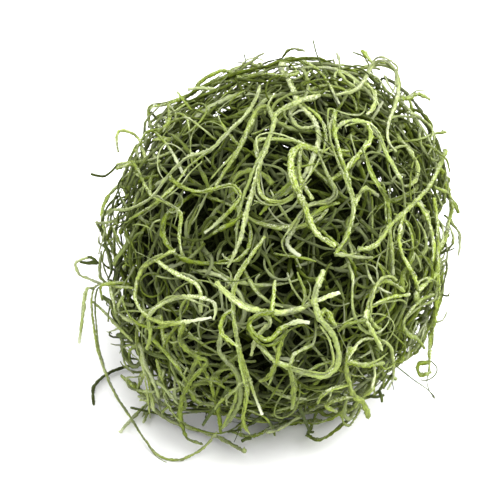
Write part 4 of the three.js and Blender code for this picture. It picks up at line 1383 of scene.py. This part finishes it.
# ---- Operators ----
class MOSS_OT_stems(bpy.types.Operator):
    """Makes the finished strands of every leafy stem, one piece for each solid"""

    bl_idname = "moss.stems"
    bl_label = "Leafy stems"

    def execute(self, context):
        strand, finish = context.scene.moss_strand, context.scene.moss_finish
        made = tangle()
        names = list(dict.fromkeys(s[0] for s in made.strands))
        for k, name in enumerate(names):
            if name == "matted_heart":
                continue
            dead = name.startswith("dead_stem")
            grown = name.startswith("leafy_stem")
            rng = np.random.default_rng(SEEDS["stems"] + k)
            piece = Strands(rng, strand.flat, strand.fray)
            for line, points in enumerate(made.lines_of(name)):
                path = even_path(points, GROWN_STEP if grown else LAID_STEP)
                width = strand.width * rng.uniform(0.78, 1.12) * STOUTNESS.get(name, STOUT)
                width *= 1.06 if line == 0 else 0.96
                flat = strand.flat * rng.uniform(0.8, 1.25)
                radius = strand_profile(path, width, rng.uniform(0.5, 0.9), rng)
                pale_end = PALE_ENDS.get((name, line), rng.uniform(0, 1) ** 4 * 0.6)
                s = np.linspace(0, 1, len(path))
                pale = pale_end * np.clip((s - 0.8) / 0.2, 0, 1) + 0.22 * rng.uniform(0, 1) ** 2
                hue = rng.uniform(0, 1)
                own = rng.uniform(0, 1) * (0.6 if grown else 0.25 if line == 0 else 0.5)
                # its own random darkening plus painted shade deeper inside the ball
                shade_and_own_dark = shaded(path, own)
                piece.add(path, radius, STEM_SIDES, hue, pale, shade_and_own_dark, flat)
                if dead or rng.uniform() > strand.doubled * (0.6 if grown else 1.0):
                    continue
                beside = companion(path, rng)
                width *= rng.uniform(0.42, 0.7)
                radius = strand_profile(beside, width, 0.4, rng)
                pale = np.full(len(beside), rng.uniform(0, 0.2))
                # the companion's own random darkening plus painted shade deeper inside the ball
                shade_and_own_dark = shaded(beside, rng.uniform(0, 0.5))
                hue = rng.uniform(0, 1)
                piece.add(beside, radius, FINE_SIDES, hue, pale, shade_and_own_dark, flat)
            look = (dead_moss(finish), "dead_stem") if dead else (green_moss(finish), "moss_green")
            new_piece(f"{name}_strands", piece, *look, [name])
        return {"FINISHED"}


def heart_rings():
    """The heart's surface, as rings of points from its upper pole down to its lower one.

    Each point lies in its direction at the half widths HEART, less a little all over and less
    HEART_DENTS times a hollow, which is a half, plus half the product of two sines of the
    direction, plus 0.3 times a third sine. Fine ridges, another product of two sines, roughen
    it. Both fade out towards the foot, which is cut off flat at the floor.
    """
    tall = np.linspace(0, math.pi, HEART_ROWS + 2)[1:-1, None]
    turn = np.arange(HEART_AROUND) * 2 * math.pi / HEART_AROUND
    x, y = np.sin(tall) * np.cos(turn), np.sin(tall) * np.sin(turn)
    z = np.broadcast_to(np.cos(tall), x.shape)
    hollow = 0.5 + 0.5 * np.sin(7.3 * x + 3 * z) * np.sin(8.1 * y + 1.3)
    hollow = hollow + 0.3 * np.sin(9.1 * z - 4 * x)
    fade = np.clip((z + 0.8) / 0.5, 0, 1)
    ridges = 0.02 * np.sin(60 * x + 11 * y) * np.sin(47 * y - 9 * z) * fade
    swell = 1 - HEART_DENTS * hollow * fade - 0.03 + ridges
    rings = HEART_MIDDLE + HEART * np.stack([x, y, z], -1) * swell[..., None]
    rings[..., 2] = np.maximum(rings[..., 2], 0.02)
    return rings


class MOSS_OT_heart(bpy.types.Operator):
    """Makes the matted heart with the strands that stand out of it"""

    bl_idname = "moss.heart"
    bl_label = "Matted heart"

    def execute(self, context):
        strand = context.scene.moss_strand
        rng = np.random.default_rng(SEEDS["heart"])
        rings = heart_rings()
        piece = Strands(rng, strand.flat, strand.fray)
        # the heart's surface is fully darkened: painted shade at the middle of the ball
        full_painted_shade = np.zeros(rings.shape) + [0, 0, 1]
        piece.put(rings, rings[[0, -1]].mean(1), rings * 0.8, full_painted_shade, downward=True)
        for points in tangle().lines_of("matted_heart"):
            path = even_path(points, GROWN_STEP)
            radius = strand_profile(path, strand.width * rng.uniform(0.8, 1.1), 0.5, rng)
            pale = np.full(len(path), rng.uniform(0, 0.1))
            # its own random darkening plus painted shade deeper inside the ball
            shade_and_own_dark = shaded(path, rng.uniform(0, 0.5))
            hue = rng.uniform(0, 1)
            piece.add(path, radius, HOOP_SIDES, hue, pale, shade_and_own_dark)
        material = green_moss(context.scene.moss_finish)
        new_piece("matted_heart_strands", piece, material, nodes=["matted_heart"])
        return {"FINISHED"}


def drift(
    rng, count, level, length, curl, drop, lean=0.8, hold=STEER, rise=0.0, step=FINE_STEP, most=1.0
):
    """Many strands at once, each turning about an axis near the way out of the ball.

    Each starts at a point of a golden spiral over the ball, at its own level, and is held to
    that level as strongly as `hold`. `lean` tilts its axis off the way out, so that it loops in
    depth as well. `rise` is how far off the surface it heads at first. Levels drop by `drop` on
    the side where the laid stems are, so that those stay in sight, and a little at the foot.
    What strays past the level `most` is drawn back half of the way at each step.
    """
    up = 1 - 1.96 * (np.arange(count) + 0.5) / count
    flat = np.sqrt(1 - up**2)
    turns = np.arange(count) * GOLDEN_TURN + rng.uniform(0, 6)
    way = np.stack([flat * np.cos(turns), flat * np.sin(turns), up], 1)
    own = rng.uniform(level[0], level[1], count)
    middle = np.array(BALL_MIDDLE)

    def lowered(out):
        foot = 0.2 * np.clip((-0.3 - out[:, 2]) / 0.4, 0, 1)
        return drop * np.clip((out @ TOWARD - 0.1) / 0.4, 0, 1) + foot

    reach = 1 / ball_levels(middle + BALL * way)
    p = middle + BALL * way * ((own - lowered(way)) * reach)[:, None]
    p[:, 2] = np.maximum(p[:, 2], LEAST_HEIGHT)
    h = units(np.cross(way, rng.normal(size=(count, 3))))
    h = units(h + way * rise)
    tilt = rng.uniform(-lean, lean, (count, 3))
    bend = rng.uniform(curl[0], curl[1], count) * rng.choice([-1, 1], count)
    phase = rng.uniform(0, 2 * math.pi, count)
    far = rng.uniform(length[0], length[1], count)
    line = [p.copy()]
    for k in range(int(length[1] / step)):
        s = k * step / far
        out = outs_of_ball(p)
        axis = units(out + tilt)
        angle = bend * (0.5 + 0.9 * s + 0.6 * np.sin(phase + 6 * s)) * step
        c, sn = np.cos(angle)[:, None], np.sin(angle)[:, None]
        h = h * c + np.cross(axis, h) * sn + axis * (axis * h).sum(1, keepdims=True) * (1 - c)
        wanted = own + 0.06 * np.sin(2 * phase + 7 * s) - lowered(out)
        off = wanted - ball_levels(p)
        climb = np.clip(CLIMB * off, -CLIMB_MOST, CLIMB_MOST) - (h * out).sum(1)
        h = units(h + out * (hold * climb)[:, None])
        p = p + h * step
        levels = ball_levels(p)
        back = 0.5 * np.clip(1 - most / levels, 0, 1)
        p = p + (middle - p) * back[:, None]
        heart = heart_levels(p)
        inside = heart < 1
        if inside.any():
            p[inside] += outs_of_heart(p[inside]) * ((1 - heart[inside]) * HEART[0])[:, None]
        p[:, 2] = np.maximum(p[:, 2], LEAST_HEIGHT)
        line.append(p.copy())
    line = np.stack(line, 1)
    counts = np.maximum(5, (far / step).astype(int))
    return [line[i, : counts[i] + 1] for i in range(count)]


class MOSS_OT_filling(bpy.types.Operator):
    """Adds the strands that fill the ball between the stems"""

    bl_idname = "moss.filling"
    bl_label = "Filling strands"

    def execute(self, context):
        strand = context.scene.moss_strand
        material = green_moss(context.scene.moss_finish)
        for name, count, sides, wide in (
            ("inner", strand.inner, 5, 1.06),
            ("outer", strand.outer, 6, 0.74),
        ):
            rng = np.random.default_rng(SEEDS[name])
            halves = {half: Strands(rng, strand.flat, strand.fray) for half in ("high", "low")}
            for path in drift(rng, count, **DRIFTS[name]):
                piece = halves["high" if path[0][2] > BALL_MIDDLE[2] else "low"]
                width = strand.width * wide * rng.uniform(0.4, 1.12)
                radius = strand_profile(path, width, rng.uniform(0.3, 0.7), rng)
                pale = np.full(len(path), 0.3 * rng.uniform(0, 1) ** 2)
                # its own random darkening plus painted shade deeper inside the ball
                shade_and_own_dark = shaded(path, rng.uniform(0.08, 0.85))
                hue = 0.65 * rng.uniform(0, 1)
                piece.add(path, radius, sides, hue, pale, shade_and_own_dark)
            for half, piece in halves.items():
                new_piece(f"{name}_strands_{half}", piece, material)
        return {"FINISHED"}


class MOSS_OT_ends(bpy.types.Operator):
    """Adds the short frayed ends that stand out of the ball all round"""

    bl_idname = "moss.ends"
    bl_label = "Frayed ends"

    def execute(self, context):
        strand = context.scene.moss_strand
        rng = np.random.default_rng(SEEDS["ends"])
        piece = Strands(rng, strand.flat, strand.fray)
        for path in drift(rng, strand.ends, **DRIFTS["ends"]):
            width = strand.width * rng.uniform(0.35, 0.85)
            radius = strand_profile(path, width, rng.uniform(0.25, 0.7), rng)
            pale = rng.uniform(0, 0.8) ** 2 * np.linspace(0, 1, len(path))
            hue = rng.uniform(0, 1)
            # its own random darkening plus painted shade deeper inside the ball
            shade_and_own_dark = shaded(path, 0.6 * rng.uniform(0, 1))
            piece.add(path, radius, FINE_SIDES, hue, pale, shade_and_own_dark)
        new_piece("frayed_ends", piece, green_moss(context.scene.moss_finish))
        return {"FINISHED"}


class MOSS_OT_fibres(bpy.types.Operator):
    """Adds thin stray fibres, dark twigs and the long wiry hair at the lower right"""

    bl_idname = "moss.fibres"
    bl_label = "Fibres and twigs"

    def execute(self, context):
        scene = context.scene
        rng = np.random.default_rng(SEEDS["fibres"])
        pale_piece, dark_piece = Strands(rng, *FIBRE_FORM), Strands(rng, *FIBRE_FORM)
        twigs = Strands(rng, *TWIG_FORM)
        lines = drift(rng, scene.moss_strand.fibres, **DRIFTS["fibres"])
        for k, path in enumerate(lines):
            dark = k % 2 == 0
            radius = np.full(len(path), rng.uniform(0.09, 0.17))
            radius[-4:] *= np.array([0.9, 0.75, 0.6, 0.4])
            pale = np.full(len(path), 0.0 if dark else rng.uniform(0.05, 0.4))
            # a fixed darkening of its own plus painted shade deeper inside the ball
            shade_and_own_dark = shaded(path, 0.3)
            piece = dark_piece if dark else pale_piece
            piece.add(path, radius, 4, rng.uniform(), pale, shade_and_own_dark)
        for wide, narrow, *line in TWIGS:
            path = even_path(laid_line(line, front_point), 0.5)
            path[:, 2] = np.maximum(path[:, 2], max(wide, narrow) * 1.05)
            radius = np.linspace(wide, narrow, len(path))
            nothing = np.zeros(len(path))
            twigs.add(path, radius, 7, rng.uniform(), nothing, nothing)
        new_piece("pale_fibres", pale_piece, green_moss(scene.moss_finish))
        new_piece("dark_fibres", dark_piece, dead_moss(scene.moss_finish), "dead_stem")
        new_piece("dark_twigs", twigs, dead_moss(scene.moss_finish), "dead_stem")
        return {"FINISHED"}


class MOSS_OT_stage(bpy.types.Operator):
    """Sets the pale floor, the soft lights and the camera"""

    bl_idname = "moss.stage"
    bl_label = "Studio"

    def execute(self, context):
        scene = context.scene
        stage = scene.moss_stage
        half = stage.floor / 2
        mesh = bpy.data.meshes.new("floor")
        mesh.from_pydata(
            [(-half, -half, 0), (half, -half, 0), (half, half, 0), (-half, half, 0)], [],
            [(0, 1, 2, 3)],
        )
        floor = bpy.data.objects.new("floor", mesh)
        scene.collection.objects.link(floor)
        mesh.materials.append(floor_material())

        world = bpy.data.worlds.new("studio")
        world.use_nodes = True
        world.node_tree.nodes["Background"].inputs["Color"].default_value = (1, 1, 1, 1)
        world.node_tree.nodes["Background"].inputs["Strength"].default_value = stage.fill
        scene.world = world
        for name, place, turn, size, power in (
            ("key", (0.2, -0.28, 0.85), (0.32, 0.22, 0), 0.8, stage.key),
            ("left", (-0.75, 0.1, 0.5), (0, -0.98, 0), 0.5, stage.key * 0.15),
            ("right", (0.75, 0.1, 0.5), (0, 0.98, 0), 0.5, stage.key * 0.22),
        ):
            light = bpy.data.lights.new(name, "AREA")
            light.shape = "DISK"
            light.size = size
            light.energy = power
            lamp = bpy.data.objects.new(name, light)
            lamp.location = place
            lamp.rotation_euler = turn
            scene.collection.objects.link(lamp)

        camera = bpy.data.cameras.new("camera")
        camera.sensor_width = 36.0
        camera.lens = camera.sensor_width * stage.eye / (GRID_WIDTH * GRID * METRE)
        camera.clip_start = 0.01
        camera.clip_end = 20.0
        eye = bpy.data.objects.new("camera", camera)
        eye.location = [GRID_ORIGIN[n] * METRE + TOWARD[n] * stage.eye for n in range(3)]
        eye.rotation_euler = (math.pi / 2 - ABOVE, 0, 0)
        scene.collection.objects.link(eye)
        scene.camera = eye
        scene.view_settings.view_transform = "Standard"
        scene.view_settings.look = "None"
        return {"FINISHED"}


class MOSS_PT_panel(bpy.types.Panel):
    """Lists the pieces of the bunch and their settings"""

    bl_label = "Spanish moss"
    bl_idname = "MOSS_PT_panel"
    bl_space_type = "VIEW_3D"
    bl_region_type = "UI"
    bl_category = "Moss"

    def draw(self, context):
        layout = self.layout
        for group in ("moss_strand", "moss_finish", "moss_stage"):
            box = layout.box()
            settings = getattr(context.scene, group)
            for name in settings.__annotations__:
                box.prop(settings, name)
        for operator in OPERATORS:
            layout.operator(operator.bl_idname)


OPERATORS = (
    MOSS_OT_stems,
    MOSS_OT_heart,
    MOSS_OT_filling,
    MOSS_OT_ends,
    MOSS_OT_fibres,
    MOSS_OT_stage,
)
SETTINGS = (
    ("moss_strand", MossStrandSettings),
    ("moss_finish", MossFinishSettings),
    ("moss_stage", MossStageSettings),
)


def register():
    for cls in (*(kind for _, kind in SETTINGS), *OPERATORS, MOSS_PT_panel):
        bpy.utils.register_class(cls)
    for name, kind in SETTINGS:
        setattr(bpy.types.Scene, name, bpy.props.PointerProperty(type=kind))


def unregister():
    for name, _ in SETTINGS:
        delattr(bpy.types.Scene, name)
    for cls in (MOSS_PT_panel, *OPERATORS[::-1], *(kind for _, kind in SETTINGS)):
        bpy.utils.unregister_class(cls)


def main():
    register()
    bpy.ops.moss.stems()
    bpy.ops.moss.heart()
    bpy.ops.moss.filling()
    bpy.ops.moss.ends()
    bpy.ops.moss.fibres()
    bpy.ops.moss.stage()


if __name__ == "__main__":
    main()
